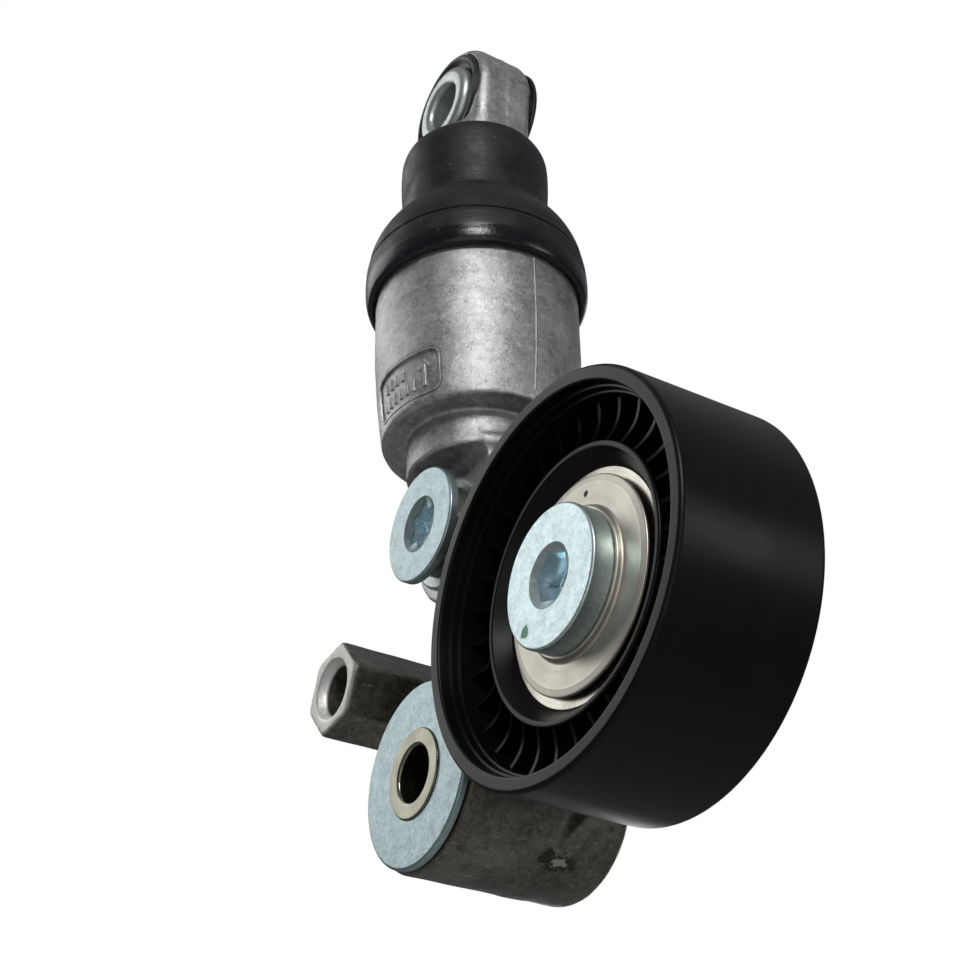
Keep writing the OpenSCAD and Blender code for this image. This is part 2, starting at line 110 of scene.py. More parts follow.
def srgb(code):
    """Linear RGB of a hex colour: c / 12.92 below 0.04045, else ((c + 0.055) / 1.055) to the 2.4."""
    parts = [int(code[i:i + 2], 16) / 255 for i in (0, 2, 4)]
    return tuple(c / 12.92 if c <= 0.04045 else ((c + 0.055) / 1.055) ** 2.4 for c in parts)


def rgba(colour):
    """A colour with full alpha."""
    return (*colour, 1.0)


def shade(colour, factor):
    """A colour made darker or lighter by a factor, no lighter than 1."""
    return [min(c * factor, 1.0) for c in colour]


# ---------------------------------------------------------------- settings


def length(label, text, millimetres):
    """A length property with its default in millimetres."""
    return FloatProperty(name=label, description=text, default=millimetres * MM, unit="LENGTH", precision=5)


def colour(label, text, code):
    """A colour property with its default as an sRGB hex code."""
    return FloatVectorProperty(name=label, description=text, default=srgb(code), subtype="COLOR",
                               size=3, min=0, max=1)


class PulleySettings(bpy.types.PropertyGroup):
    """Sizes and colours of the moulded pulley."""

    edge_round: length("Edge rounding", "Radius of the rim's outer edges", 0.8)
    rib_thickness: length("Rib thickness", "Thickness of one rib at its free edge", 0.75)
    rib_count: IntProperty(name="Ribs", description="Ribs on each side", default=32, min=8, max=60)
    nylon: colour("Nylon", "Colour of the moulded pulley", "060607")


class CastingSettings(bpy.types.PropertyGroup):
    """Sizes and colours of the three die castings."""

    cell: length("Cell", "Grid step of the casting surfaces", 0.55)
    fillet: length("Fillet", "Fillet where two cast shapes meet", 2.5)
    strut_light: colour("Strut light", "Lighter tone of the strut's aluminium", "C4C5C3")
    strut_dark: colour("Strut dark", "Darker tone of the strut's aluminium", "7C7D7C")
    arm_light: colour("Arm light", "Lighter tone of the arm's aluminium", "827F78")
    arm_dark: colour("Arm dark", "Darker tone of the arm's aluminium", "44413A")


class RubberSettings(bpy.types.PropertyGroup):
    """Sizes and colours of the boot and the black bushes."""

    wall: length("Wall", "Thickness of the boot", 2.2)
    boot: colour("Boot", "Colour of the boot's rubber", "0D0E12")
    bush: colour("Bush", "Colour of the black bushes", "0C0C0E")


class MetalSettings(bpy.types.PropertyGroup):
    """Colours of the turned, plated and pressed steel pieces."""

    edge_round: length("Edge rounding", "Radius of a turned edge", 0.35)
    zinc: colour("Zinc", "Colour of the bolts' zinc plating", "C6D8D9")
    washer: colour("Washer", "Colour of the washers' zinc plating", "9DAEB0")
    sleeve: colour("Sleeve", "Colour of the machined sleeve", "8D8C7C")
    shield: colour("Shield", "Colour of the pressed shield", "C9C5B9")
    paint: colour("Paint", "Colour of the inspection mark", "1F7A58")


class StudioSettings(bpy.types.PropertyGroup):
    """The camera, the floor and the lights."""

    lens: FloatProperty(name="Lens", description="Focal length in mm", default=67.5, min=20, max=200)
    azimuth: FloatProperty(name="Azimuth", description="Camera angle round the object",
                           default=math.radians(57.0), subtype="ANGLE")
    elevation: FloatProperty(name="Elevation", description="Camera angle above the horizon",
                             default=math.radians(-33.1), subtype="ANGLE")
    roll: FloatProperty(name="Roll", description="Camera turn about its own axis",
                        default=math.radians(-1.1), subtype="ANGLE")
    distance: length("Distance", "Camera distance from its target", 330.0)
    floor_drop: length("Floor drop", "Height of the floor below the pivot", 1200.0)
    floor: colour("Floor", "Colour of the floor", "F2F2F0")


GROUPS = {
    "tensioner_pulley": PulleySettings,
    "tensioner_casting": CastingSettings,
    "tensioner_rubber": RubberSettings,
    "tensioner_metal": MetalSettings,
    "tensioner_studio": StudioSettings,
}


# ---------------------------------------------------------------- meshes


def make_piece(name, points, faces, node, slot, material, sharp=38, rides=True):
    """Makes a mesh from points in millimetres, in place of a CAD node, with its faces turned outwards.

    The faces are turned if the signed volume, the sum of a . (b x c) / 6 over the triangles, is negative.
    """
    quads = np.asarray(faces)
    a, b, c = points[quads[:, 0]], points[quads[:, 1]], points[quads[:, 2]]
    volume = np.einsum("ij,ij->", a, np.cross(b, c))
    if quads.shape[1] == 4:
        volume += np.einsum("ij,ij->", a, np.cross(c, points[quads[:, 3]]))
    if volume < 0:
        quads = quads[:, ::-1]
    rows = [[int(i) for k, i in enumerate(row) if i != row[k - 1]] for row in quads.tolist()]
    mesh = bpy.data.meshes.new(name)
    mesh.from_pydata((points * MM).tolist(), [], [row for row in rows if len(row) > 2])
    mesh.validate()
    mesh.polygons.foreach_set("use_smooth", np.ones(len(mesh.polygons), bool))
    mesh.set_sharp_from_angle(angle=math.radians(sharp))
    piece = bpy.data.objects.new(name, mesh)
    bpy.context.scene.collection.objects.link(piece)
    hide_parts(node)
    if rides:
        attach(piece, body_of_node(node))
    return finish_piece(piece, material)


def rounded(corners, close=True, steps=5):
    """Profile through the corners (radius, height, rounding), each corner cut by a circular arc.

    An arc of radius f at a corner of half angle h starts f / tan(h) before it; one more point lies just
    outside each end of the arc, so that smooth shading stays on the arc.
    """
    points = np.array([corner[:2] for corner in corners], float)
    count = len(points)
    out = []
    for i, corner in enumerate(corners):
        here = points[i]
        fillet = corner[2] if len(corner) > 2 else 0
        inner = close or 0 < i < count - 1
        if not inner or fillet <= 0:
            out.append(here)
            continue
        back, ahead = points[i - 1] - here, points[(i + 1) % count] - here
        back_len, ahead_len = np.linalg.norm(back), np.linalg.norm(ahead)
        u, v = back / back_len, ahead / ahead_len
        half = math.acos(float(np.clip(u @ v, -1, 1))) / 2
        if half > 1.55:
            out.append(here)
            continue
        reach = min(fillet / math.tan(half), 0.49 * back_len, 0.49 * ahead_len)
        radius = reach * math.tan(half)
        centre = here + (u + v) / np.linalg.norm(u + v) * radius / math.sin(half)
        first, last = here + u * reach - centre, here + v * reach - centre
        turn = math.atan2(first[0] * last[1] - first[1] * last[0], first @ last)
        pad = min(0.06, reach * 0.2)
        out.append(here + u * (reach + pad))
        for k in range(steps + 1):
            a = turn * k / steps
            cos, sin = math.cos(a), math.sin(a)
            out.append(centre + np.array([first[0] * cos - first[1] * sin, first[0] * sin + first[1] * cos]))
        out.append(here + v * (reach + pad))
    return np.array(out)


def turned(name, profile, centre, node, slot, material, axis="Y", shape=None, close=True, around=AROUND,
           rides=True):
    """A profile of (radius, height) points turned about an axis through the centre.

    Point (i, j) is centre + r_i * (cos t_j, sin t_j) across the axis + h_i along it, with t_j = 2 pi j / n.
    shape(r, h, t) may change the radius and the height. An open profile starts and ends on the axis.
    """
    t = np.arange(around) * (2 * math.pi / around)
    r = np.repeat(profile[:, :1], around, axis=1)
    h = np.repeat(profile[:, 1:2], around, axis=1)
    if shape:
        r, h = shape(r, h, t[None, :])
    across, up = r * np.cos(t), r * np.sin(t)
    if axis == "Y":
        grid = np.stack([across, h, up], axis=-1)
    else:
        grid = np.stack([across, up, h], axis=-1)
    points = grid.reshape(-1, 3) + np.array(centre)
    rows = len(profile)
    i = np.arange(rows if close else rows - 1)[:, None]
    j = np.arange(around)[None, :]
    after, beside = (i + 1) % rows, (j + 1) % around
    first = np.arange(rows)[:, None] * around
    index = np.where(r < 1e-6, first, first + np.arange(around))
    faces = np.stack([index[i, j], index[i, beside], index[after, beside], index[after, j]], axis=-1)
    return make_piece(name, points, faces.reshape(-1, 4), node, slot, material, rides=rides)


def tube_faces(rows, cols):
    """Quads of a tube given ring by ring: (i, j), (i, j + 1), (i + 1, j + 1), (i + 1, j)."""
    i, j = np.meshgrid(np.arange(rows - 1), np.arange(cols), indexing="ij")
    k = (j + 1) % cols
    quads = [i * cols + j, i * cols + k, (i + 1) * cols + k, (i + 1) * cols + j]
    return np.stack(quads, axis=-1).reshape(-1, 4)


def surface_net(sdf, low, high, cell):
    """Closed surface where sdf(x, y, z) is zero, on a grid of cubes.

    Each cube that the surface crosses gets one point, the mean of the crossings on its edges; each
    crossed edge gives one quad through its four cubes. Two Newton steps, p - f(p) g / |g|^2, then put
    the points on the surface.
    """
    axes = [np.arange(a - 2 * cell, b + 2 * cell, cell) for a, b in zip(low, high)]
    x, y, z = np.meshgrid(*axes, indexing="ij", sparse=True)
    field = sdf(x, y, z)
    shape = np.array(field.shape) - 1
    strides = np.array([shape[1] * shape[2], shape[2], 1])
    cubes, spots, quads = [], [], []
    for axis in range(3):
        low_side = [slice(None)] * 3
        high_side = [slice(None)] * 3
        low_side[axis] = slice(0, -1)
        high_side[axis] = slice(1, None)
        fa, fb = field[tuple(low_side)], field[tuple(high_side)]
        place = np.argwhere((fa < 0) != (fb < 0))
        start, end = fa[tuple(place.T)], fb[tuple(place.T)]
        spot = place.astype(float)
        spot[:, axis] += start / (start - end)
        b, c = (axis + 1) % 3, (axis + 2) % 3
        ring = []
        for db, dc in ((0, 0), (1, 0), (1, 1), (0, 1)):
            cube = place.copy()
            cube[:, b] -= db
            cube[:, c] -= dc
            ring.append(cube @ strides)
            spots.append(spot)
        ring = np.stack(ring, axis=1)
        cubes.append(ring.T.reshape(-1))
        quads.append(np.where((start < 0)[:, None], ring, ring[:, ::-1]))
    cubes, spots = np.concatenate(cubes), np.concatenate(spots)
    used, where = np.unique(cubes, return_inverse=True)
    count = np.bincount(where)
    points = np.stack([np.bincount(where, spots[:, k]) / count for k in range(3)], axis=1)
    points = points * cell + np.array([axis[0] for axis in axes])
    step = cell * 0.1
    for _ in range(2):
        value = sdf(*points.T)
        slope = np.stack([sdf(*(points + step * unit).T) - value for unit in np.eye(3)], axis=1) / step
        size = np.maximum((slope ** 2).sum(axis=1), 0.25)
        move = (value / size)[:, None] * slope
        points = points - np.clip(move, -cell / 2, cell / 2)
    return points, np.searchsorted(used, np.concatenate(quads))


# ---------------------------------------------------------------- distances of cast shapes


def blend_union(a, b, k):
    """Smaller of two distances, with a fillet of about k: min(a, b) - k (1 - |a - b| / k)^2 / 4."""
    near = np.maximum(k - np.abs(a - b), 0) / k
    return np.minimum(a, b) - near * near * k / 4


def blend_cut(a, b, k):
    """Distance of a with b taken out of it, its edge rounded by about k."""
    return -blend_union(-a, b, k)


def drum(along, radial, radius, start, end, edge):
    """Distance to a round bar: its corner in (radial, along) is rounded by edge."""
    return slab(radial - radius, along, start, end, edge)


def slab(flat, along, start, end, edge):
    """Distance to a flat outline of distance flat, made thick from start to end, with rounded edges."""
    qr = flat + edge
    qa = np.abs(along - (start + end) / 2) - (end - start) / 2 + edge
    outside = np.sqrt(np.maximum(qr, 0) ** 2 + np.maximum(qa, 0) ** 2)
    return np.minimum(np.maximum(qr, qa), 0) + outside - edge


def bar_outline(x, z, a, ra, b, rb):
    """Flat distance to a bar with round ends, its radius going evenly from ra to rb."""
    dx, dz = b[0] - a[0], b[1] - a[1]
    t = np.clip(((x - a[0]) * dx + (z - a[1]) * dz) / (dx * dx + dz * dz), 0, 1)
    return np.hypot(x - a[0] - t * dx, z - a[1] - t * dz) - (ra + (rb - ra) * t)


def hexagon_outline(x, z, centre, across_flats, turn):
    """Flat distance to a hexagon: the largest of its three pairs of side distances, corners eased."""
    u, v = x - centre[0], z - centre[1]
    sides = [np.abs(u * math.cos(a) + v * math.sin(a)) for a in (turn + math.pi * k / 3 for k in range(3))]
    widest = -blend_union(blend_union(-sides[0], -sides[1], 0.8), -sides[2], 0.8)
    return widest - across_flats / 2


def ripple(x, y, z, size, seed):
    """Slow uneven wave between about -1 and 1, a product of sines with a length of size."""
    k = 2 * math.pi / size
    one = np.sin(k * (x + 0.37 * z) + seed) * np.sin(k * (0.83 * y - 0.29 * x) + 2.1 * seed)
    two = np.sin(k * 1.7 * (z + 0.21 * y) - seed) * np.sin(k * 1.3 * (x - 0.4 * y) + 0.7 * seed)
    return (one + two) / 2


# ---------------------------------------------------------------- materials


def add_node(tree, kind, inputs=None, out=0, **settings):
    """Adds a shader node and returns one of its outputs.

    settings are the node's attributes; inputs gives its sockets a value or another node's output.
    """
    made = tree.nodes.new("ShaderNode" + kind)
    for key, value in settings.items():
        setattr(made, key, value)
    for key, value in (inputs or {}).items():
        if isinstance(value, bpy.types.NodeSocket):
            tree.links.new(value, made.inputs[key])
        else:
            made.inputs[key].default_value = value
    return made.outputs[out]


def new_material(name, **values):
    """A material with some of its shader's values set, its own add_node and its Object coordinates."""
    material = bpy.data.materials.new(name)
    material.use_nodes = True
    shader = material.node_tree.nodes["Principled BSDF"]
    for key, value in values.items():
        shader.inputs[key.replace("_", " ")].default_value = value
    add = functools.partial(add_node, material.node_tree)
    return material, add, add("TexCoord", out="Object")


def finish_shader(material, base, shine=None, height=None, depth=0.0, strength=0.0, **others):
    """Links the colour, the roughness, a bump of so many millimetres and other outputs to the shader."""
    tree = material.node_tree
    outputs = {"Base Color": base, "Roughness": shine}
    outputs.update((key.replace("_", " "), output) for key, output in others.items())
    if height is not None:
        bump = {"Height": height, "Distance": depth * MM, "Strength": strength}
        outputs["Normal"] = add_node(tree, "Bump", bump)
    for key, output in outputs.items():
        if output is not None:
            tree.links.new(output, tree.nodes["Principled BSDF"].inputs[key])
    return material


def pattern(place, millimetres, detail=3.0, rough=0.5):
    """Inputs of a noise whose features are about so many millimetres."""
    return {"Vector": place, "Scale": 1 / (millimetres * MM), "Detail": detail, "Roughness": rough}


def patches(add, place, millimetres, detail, rough, low, high):
    """Patches of noise: 0 where it is below low, 1 where it is above high."""
    noise = add("TexNoise", pattern(place, millimetres, detail, rough))
    return add("MapRange", {0: noise, 1: low, 2: high})


def weighted(add, *pairs):
    """Sum of outputs, each times its weight."""
    total = 0.0
    for output, weight in pairs:
        total = add("Math", {0: output, 1: weight, 2: total}, operation="MULTIPLY_ADD")
    return total


def within(add, *edges):
    """Product of soft steps: each value goes from 0 to 1 between its two limits in millimetres."""
    inside = 1.0
    for value, start, end in edges:
        step = add("MapRange", {0: value, 1: start * MM, 2: end * MM})
        inside = add("Math", {0: step, 1: inside}, operation="MULTIPLY")
    return inside


def laid_over(add, base, colour, mask, amount=1.0):
    """The base with a colour over it, by an amount where the mask is 1."""
    mix = {0: weighted(add, (mask, amount)), 6: base, 7: rgba(colour)}
    return add("Mix", mix, out=2, data_type="RGBA")


def axis_distance(add, place, centre):
    """Distance in metres from the Y axis through a centre, and the depth along it."""
    moved = add("Mapping", {"Vector": place, "Location": [-c * MM for c in centre]})
    flat = add("VectorMath", {0: moved, 1: (1, 0, 1)}, operation="MULTIPLY")
    return (add("VectorMath", {0: flat}, out="Value", operation="LENGTH"),
            add("SeparateXYZ", {0: moved}, out="Y"))


def die_cast(name, light, dark, rough, worn, cut=None, scar=None):
    """Die-cast aluminium: a fine sparkling skin over soft flow clouds, with pores, stains and scuffs.

    With a cut, the bore's countersunk mouth about that axis and the hexagon's front face before it are
    painted lighter: a painted highlight where they catch the light. With a scar, the gate's broken stub
    leaves a rough patch there.
    """
    material, add, place = new_material(name, Metallic=0.85)
    clouds = add("TexNoise", pattern(place, 12, 4, 0.55))
    mottle = add("TexNoise", pattern(place, 1.6, 7, 0.8))
    grain = add("TexNoise", pattern(place, 0.32, 3, 0.7))
    tone = weighted(add, (clouds, 0.3), (mottle, 0.4), (grain, 0.3))
    base = laid_over(add, rgba(dark), light, add("MapRange", {0: tone, 1: 0.40, 2: 0.60}))
    stain = patches(add, place, 3.5, 7, 0.78, 0.54, 0.66)
    base = laid_over(add, base, shade(dark, 0.55), stain, worn)
    drawn = add("Mapping", {"Vector": place, "Scale": (1, 0.25, 1)})
    scuff = patches(add, drawn, 1.1, 3, 0.7, 0.62, 0.70)
    base = laid_over(add, base, shade(light, 1.5), scuff, worn)
    pore = patches(add, place, 0.5, 1, 0.4, 0.72, 0.78)
    base = laid_over(add, base, shade(dark, 0.3), pore, 0.55)
    relief = [(mottle, 0.6), (grain, 0.7), (pore, -1)]
    if cut:
        radius, depth = axis_distance(add, place, cut)
        # Painted highlight: the countersink's cone is painted near white where it catches the light.
        mouth = within(add, (radius, 6.9, 6.5), (depth, -0.4, -0.9))
        base = laid_over(add, base, srgb("E2E2DF"), mouth)
        # Painted highlight: the hexagon's front face and its rounded edge are painted lighter.
        base = laid_over(add, base, srgb("C9C8C2"), within(add, (depth, -2.1, -2.35)), 0.75)
    if scar:
        drawn_out = 0.55
        x, y, z = scar
        moved = add("Mapping", {"Vector": place, "Scale": (1, drawn_out, 1),
                                "Location": (-x * MM, -y * drawn_out * MM, -z * MM)})
        reach = add("VectorMath", {0: moved}, out="Value", operation="LENGTH")
        near = add("MapRange", {0: reach, 1: 0.5 * MM, 2: 4.5 * MM, 3: 0.30, 4: -0.25})
        torn = weighted(add, (near, 1), (add("TexNoise", pattern(place, 2.0, 5, 0.75)), 1))
        edge = add("MapRange", {0: torn, 1: 0.60, 2: 0.64})
        base = laid_over(add, base, shade(dark, 0.35), edge, 0.8)
        base = laid_over(add, base, srgb("A39E96"), add("MapRange", {0: torn, 1: 0.74, 2: 0.80}))
        relief.append((edge, -4))
    shine = add("MapRange", {0: mottle, 1: 0.3, 2: 0.7, 3: rough - 0.05, 4: rough + 0.07})
    shine = weighted(add, (shine, 1), (grain, 0.1))
    return finish_shader(material, base, shine, weighted(add, *relief), 0.12, 0.9)


def zinc_plated(name, base_colour, centre=None, face=0, paint=None, mark=None):
    """Zinc-plated steel, clear passivated: greenish white with faint crystals, stains and handling marks.

    With a centre, the socket below the face is polished, and painted lighter and bluer as a painted
    reflection of its bright walls. With a mark, a drop of inspection paint lies there.
    """
    material, add, place = new_material(name, Metallic=0.85)
    crystal = add("TexVoronoi", {"Vector": place, "Scale": 1 / (0.45 * MM)}, out="Color")
    cloud = add("TexNoise", pattern(place, 2.6, 6, 0.72))
    tone = weighted(add, (add("RGBToBW", {0: crystal}), 0.3), (cloud, 0.7))
    base = laid_over(add, rgba(shade(base_colour, 0.74)), base_colour,
                     add("MapRange", {0: tone, 1: 0.32, 2: 0.66}))
    base = laid_over(add, base, srgb("8F9384"), patches(add, place, 2.4, 5, 0.7, 0.60, 0.70), 0.35)
    speck = patches(add, place, 0.7, 2, 0.5, 0.70, 0.76)
    base = laid_over(add, base, shade(base_colour, 0.3), speck, 0.5)
    shine = add("MapRange", {0: tone, 1: 0.2, 2: 0.8, 3: 0.44, 4: 0.30})
    others = {}
    if centre:
        radius, depth = axis_distance(add, place, centre)
        socket = within(add, (radius, 5.6, 5.2), (depth, face + 0.9, face + 1.6),
                        (depth, face + 9, face + 8))
        # Painted reflection: the socket is painted lighter and bluer than the plating; the lower roughness
        # below is real polish.
        base = laid_over(add, base, srgb("D4E6EC"), socket)
        polish = add("MapRange", {0: socket, 3: 1.0, 4: 0.5})
        shine = add("Math", {0: shine, 1: polish}, operation="MULTIPLY")
    if mark:
        wobble = add("TexNoise", pattern(place, 1.2, 2))
        drop = weighted(add, (axis_distance(add, place, mark)[0], 1), (wobble, 0.9 * MM))
        painted = within(add, (drop, 1.6, 1.45))
        base = laid_over(add, base, paint, painted)
        others["Metallic"] = add("MapRange", {0: painted, 3: 0.85, 4: 0.0})
    drawn = add("Mapping", {"Vector": place, "Scale": (1, 1, 0.15)})
    scratch = add("TexNoise", pattern(drawn, 0.3, 2))
    relief = weighted(add, (cloud, 0.8), (scratch, 0.3))
    return finish_shader(material, base, shine, relief, 0.03, 0.6, **others)


def machined(name, base_colour, centre, rough=0.3, groove=0.35, dull=0.7, pit=None):
    """Turned or pressed steel: fine rings about the piece's own axis, soft stains and, if asked, a pit drawn
    as painted shade.
    """
    material, add, place = new_material(name, Metallic=1.0)
    radius, depth = axis_distance(add, place, centre)
    spiral = add("CombineXYZ", {0: weighted(add, (radius, 1), (depth, 1))})
    rings = add("TexNoise", pattern(spiral, groove, 3, 0.7))
    cloud = patches(add, place, 5, 3, 0.5, 0.35, 0.65)
    base = laid_over(add, rgba(shade(base_colour, dull)), base_colour, cloud)
    speck = patches(add, place, 0.8, 3, 0.6, 0.66, 0.74)
    base = laid_over(add, base, shade(base_colour, 0.35), speck, 0.4)
    if pit:
        # A near-black dot at the pit stands in for the shade inside it: painted shade.
        hole = within(add, (axis_distance(add, place, pit)[0], 0.7, 0.5))
        base = laid_over(add, base, (0.01, 0.01, 0.01), hole)
    shine = add("MapRange", {0: rings, 1: 0.3, 2: 0.7, 3: rough - 0.06, 4: rough + 0.08})
    return finish_shader(material, base, shine, rings, 0.01, 0.5)


def moulded_nylon(name, base_colour, rough=0.32):
    """Glass-filled nylon, injection moulded: satin black with faint flow clouds and fine fibre grain."""
    material, add, place = new_material(name, IOR=1.53, Specular_IOR_Level=0.15)
    cloud = add("TexNoise", pattern(place, 14, 4, 0.55))
    grain = add("TexNoise", pattern(place, 0.4, 2, 0.6))
    base = laid_over(add, rgba(base_colour), shade(base_colour, 1.7),
                     add("MapRange", {0: cloud, 1: 0.35, 2: 0.65}))
    shine = add("MapRange", {0: cloud, 1: 0.3, 2: 0.7, 3: rough - 0.05, 4: rough + 0.05})
    return finish_shader(material, base, weighted(add, (shine, 1), (grain, 0.06)), grain, 0.012, 0.4)


def moulded_rubber(name, base_colour, rough=0.5, gloss_below=None):
    """Black rubber, compression moulded: patchy sheen, pale bloom, flow lines round it and dust specks.

    Below a height in millimetres, where the mould was polished, it is glossy.
    """
    material, add, place = new_material(name, IOR=1.52, Specular_IOR_Level=0.35)
    flow = add("Mapping", {"Vector": place, "Scale": (0.25, 0.25, 3)})
    cloud = add("TexNoise", pattern(place, 5, 6, 0.65))
    lines = add("TexNoise", pattern(flow, 3.5, 4, 0.6))
    grain = add("TexNoise", pattern(place, 0.5, 3, 0.6))
    bloom = weighted(add, (add("MapRange", {0: cloud, 1: 0.45, 2: 0.72}), 0.8),
                     (add("MapRange", {0: lines, 1: 0.55, 2: 0.75}), 0.5))
    base = laid_over(add, rgba(base_colour), [c * 3 + 0.003 for c in base_colour], bloom)
    base = laid_over(add, base, srgb("8A8E94"), patches(add, place, 0.7, 1, 0.3, 0.76, 0.80), 0.4)
    shine = add("MapRange", {0: cloud, 1: 0.35, 2: 0.65, 3: rough - 0.12, 4: rough + 0.12})
    if gloss_below:
        height = add("SeparateXYZ", {0: place}, out="Z")
        polish = within(add, (height, gloss_below + 0.6, gloss_below - 0.6))
        polish = add("MapRange", {0: polish, 3: 1.0, 4: 0.45})
        shine = add("Math", {0: shine, 1: polish}, operation="MULTIPLY")
    relief = weighted(add, (grain, 1), (cloud, 2), (lines, 2))
    return finish_shader(material, base, shine, relief, 0.06, 0.6)


def coated_wire(name, base_colour):
    """Phosphated and oiled steel: dark grey with a soft satin shine."""
    material, add, place = new_material(name, Metallic=0.6)
    cloud = add("TexNoise", pattern(place, 2, 4, 0.6))
    shine = add("MapRange", {0: cloud, 1: 0.3, 2: 0.7, 3: 0.35, 4: 0.5})
    return finish_shader(material, laid_over(add, rgba(base_colour), shade(base_colour, 1.8), cloud), shine)


def finish_piece(piece, material):
    """Gives the material to a piece or to a CAD node."""
    piece.data.materials.clear()
    piece.data.materials.append(material)
    return piece


def finish_nodes(names, material):
    """Gives the material to CAD nodes that keep their own shape."""
    for name in names:
        finish_piece(frame["nodes"][name], material)


# ---------------------------------------------------------------- pulley


RIB_INNER, RIB_OUTER, RIB_TOP, RIB_FLOOR = 23.3, 31.4, 5.2, 11.9


def rim_profile(edge):
    """Closed outline of the pulley's section: rim with stepped inner wall, web and hub."""
    low, high = node_box("pulley_wheel")
    outer = (high[0] - low[0]) / 2
    inner, seat, hub = outer - 2.8, 20.0, 23.7
    side = [(outer, 0, edge), (inner, 0, 0.45), (inner - 0.1, 2.2, 0.1), (inner - 0.5, 2.3, 0.1),
            (inner - 0.6, 3.7, 0.1), (inner - 1.0, 3.8, 0.1), (inner - 1.3, 11.8, 0.6),
            (hub + 0.3, 11.8, 0.8), (hub, 4.7, 0.5), (hub - 1.1, 4.7, 0.5), (seat + 0.5, 7.4, 0.3),
            (seat + 0.1, 7.75, 0)]
    front = [(radius, low[1] + depth, fillet) for radius, depth, fillet in side]
    return front + [(radius, high[1] - depth, fillet) for radius, depth, fillet in reversed(side)]


def rib_fan(count, thickness, inner, outer, top, floor):
    """Radial ribs: thin wedges that run from the hub to the rim, their free edge dipping along a curve.

    Rib k stands at angle 2 pi (k + 1/2) / count. Along it, u from 0 to 1, the free edge is at
    top + sag * sin(pi u), and its thickness grows by a third from the free edge to the floor.
    """
    u = np.linspace(0, 1, 9)
    radius = inner + (outer - inner) * u
    edge = top + (floor - top) * 0.16 * np.sin(math.pi * u) + (floor - top) * 0.10 * u
    ring = []
    base = np.full_like(u, floor)
    for side, depth in ((-0.5, edge), (0.5, edge), (0.66, base), (-0.66, base)):
        ring.append(np.stack([radius, depth, np.full_like(u, side * thickness)], axis=1))
    one = np.stack(ring, axis=1)
    angles = 2 * math.pi * (np.arange(count) + 0.5) / count
    c, s = np.cos(angles), np.sin(angles)
    x = one[None, ..., 0] * c[:, None, None] - one[None, ..., 2] * s[:, None, None]
    z = one[None, ..., 0] * s[:, None, None] + one[None, ..., 2] * c[:, None, None]
    y = np.broadcast_to(one[None, ..., 1], x.shape)
    points = np.stack([x, y, z], axis=-1).reshape(-1, 3)
    size = len(u) * 4
    ends = [[0, 3, 2, 1], [size - 4, size - 3, size - 2, size - 1]]
    faces = np.concatenate([tube_faces(len(u), 4), ends])
    return points, (faces[None] + (np.arange(count) * size)[:, None, None]).reshape(-1, 4)


class TENSIONER_OT_pulley(bpy.types.Operator):
    """Turn the pulley's rim, web and hub and stand its ribs on both sides"""

    bl_idname = "tensioner.pulley"
    bl_label = "Pulley"

    def execute(self, context):
        """Makes the pulley and its two fans of ribs."""
        s = context.scene.tensioner_pulley
        nylon = moulded_nylon("pulley glass-filled nylon, moulded", s.nylon)
        profile = rounded(rim_profile(s.edge_round / MM), steps=6)
        turned("pulley_wheel_moulded", profile, PULLEY_AXIS, "pulley_wheel", "pulley_nylon", nylon,
               around=256)
        low, high = node_box("pulley_wheel")
        for side, face, turn in (("front", low[1], 1), ("rear", high[1], -1)):
            points, faces = rib_fan(s.rib_count, s.rib_thickness / MM, RIB_INNER, RIB_OUTER,
                                    face + turn * RIB_TOP, face + turn * RIB_FLOOR)
            make_piece("pulley_ribs_" + side, points + np.array(PULLEY_AXIS), faces, "pulley_wheel",
                       "pulley_nylon", nylon, 30)
        return {"FINISHED"}


# ---------------------------------------------------------------- bolts and turned pieces


def hexagon_radius(t, across_flats, turn):
    """Radius of a hexagon at angle t: a / 2 / cos of the angle to the nearest flat's middle."""
    local = np.mod(t - turn + math.pi / 6, math.pi / 3) - math.pi / 6
    return across_flats / 2 / np.cos(local)


def six_lobe_radius(t, outer, inner, turn):
    """Radius of a six-lobed socket: the mean of both radii plus half their difference times cos 6t."""
    return (outer + inner) / 2 + (outer - inner) / 2 * np.cos(6 * (t - turn))


def bolt_head(name, node, centre, material, head, shank, socket, wall, edge):
    """A round-headed bolt with a socket: one profile from the socket's floor round to the shank's end.

    The head is a radius and a height, the socket a depth and the radius of its mouth.
    """
    face, tail = node_box(node)[0][1], node_box(node)[1][1]
    (radius, height), (depth, mouth) = head, socket
    floor = face + depth
    corners = [(0, floor + 1.6), (mouth * 0.55, floor + 0.9), (mouth * 0.999, floor, 0.2),
               (mouth * 0.999, face + 0.75, 0), (mouth * 1.17, face, 0.12), (radius, face, edge),
               (radius, face + height, edge * 0.7), (shank, face + height, 0), (shank, tail, 0.5), (0, tail)]

    def shape(r, h, t):
        """Points inside the mouth follow the socket's outline, and the chamfer eases into it."""
        inside = (r < mouth * 1.0001) & (h < floor + 2) & (h > face + 0.3)
        return np.where(inside, r / mouth * wall(t), r), h

    profile = rounded(corners, close=False, steps=6)
    return turned(name, profile, centre, node, "zinc_plate", material, shape=shape, close=False, around=240)


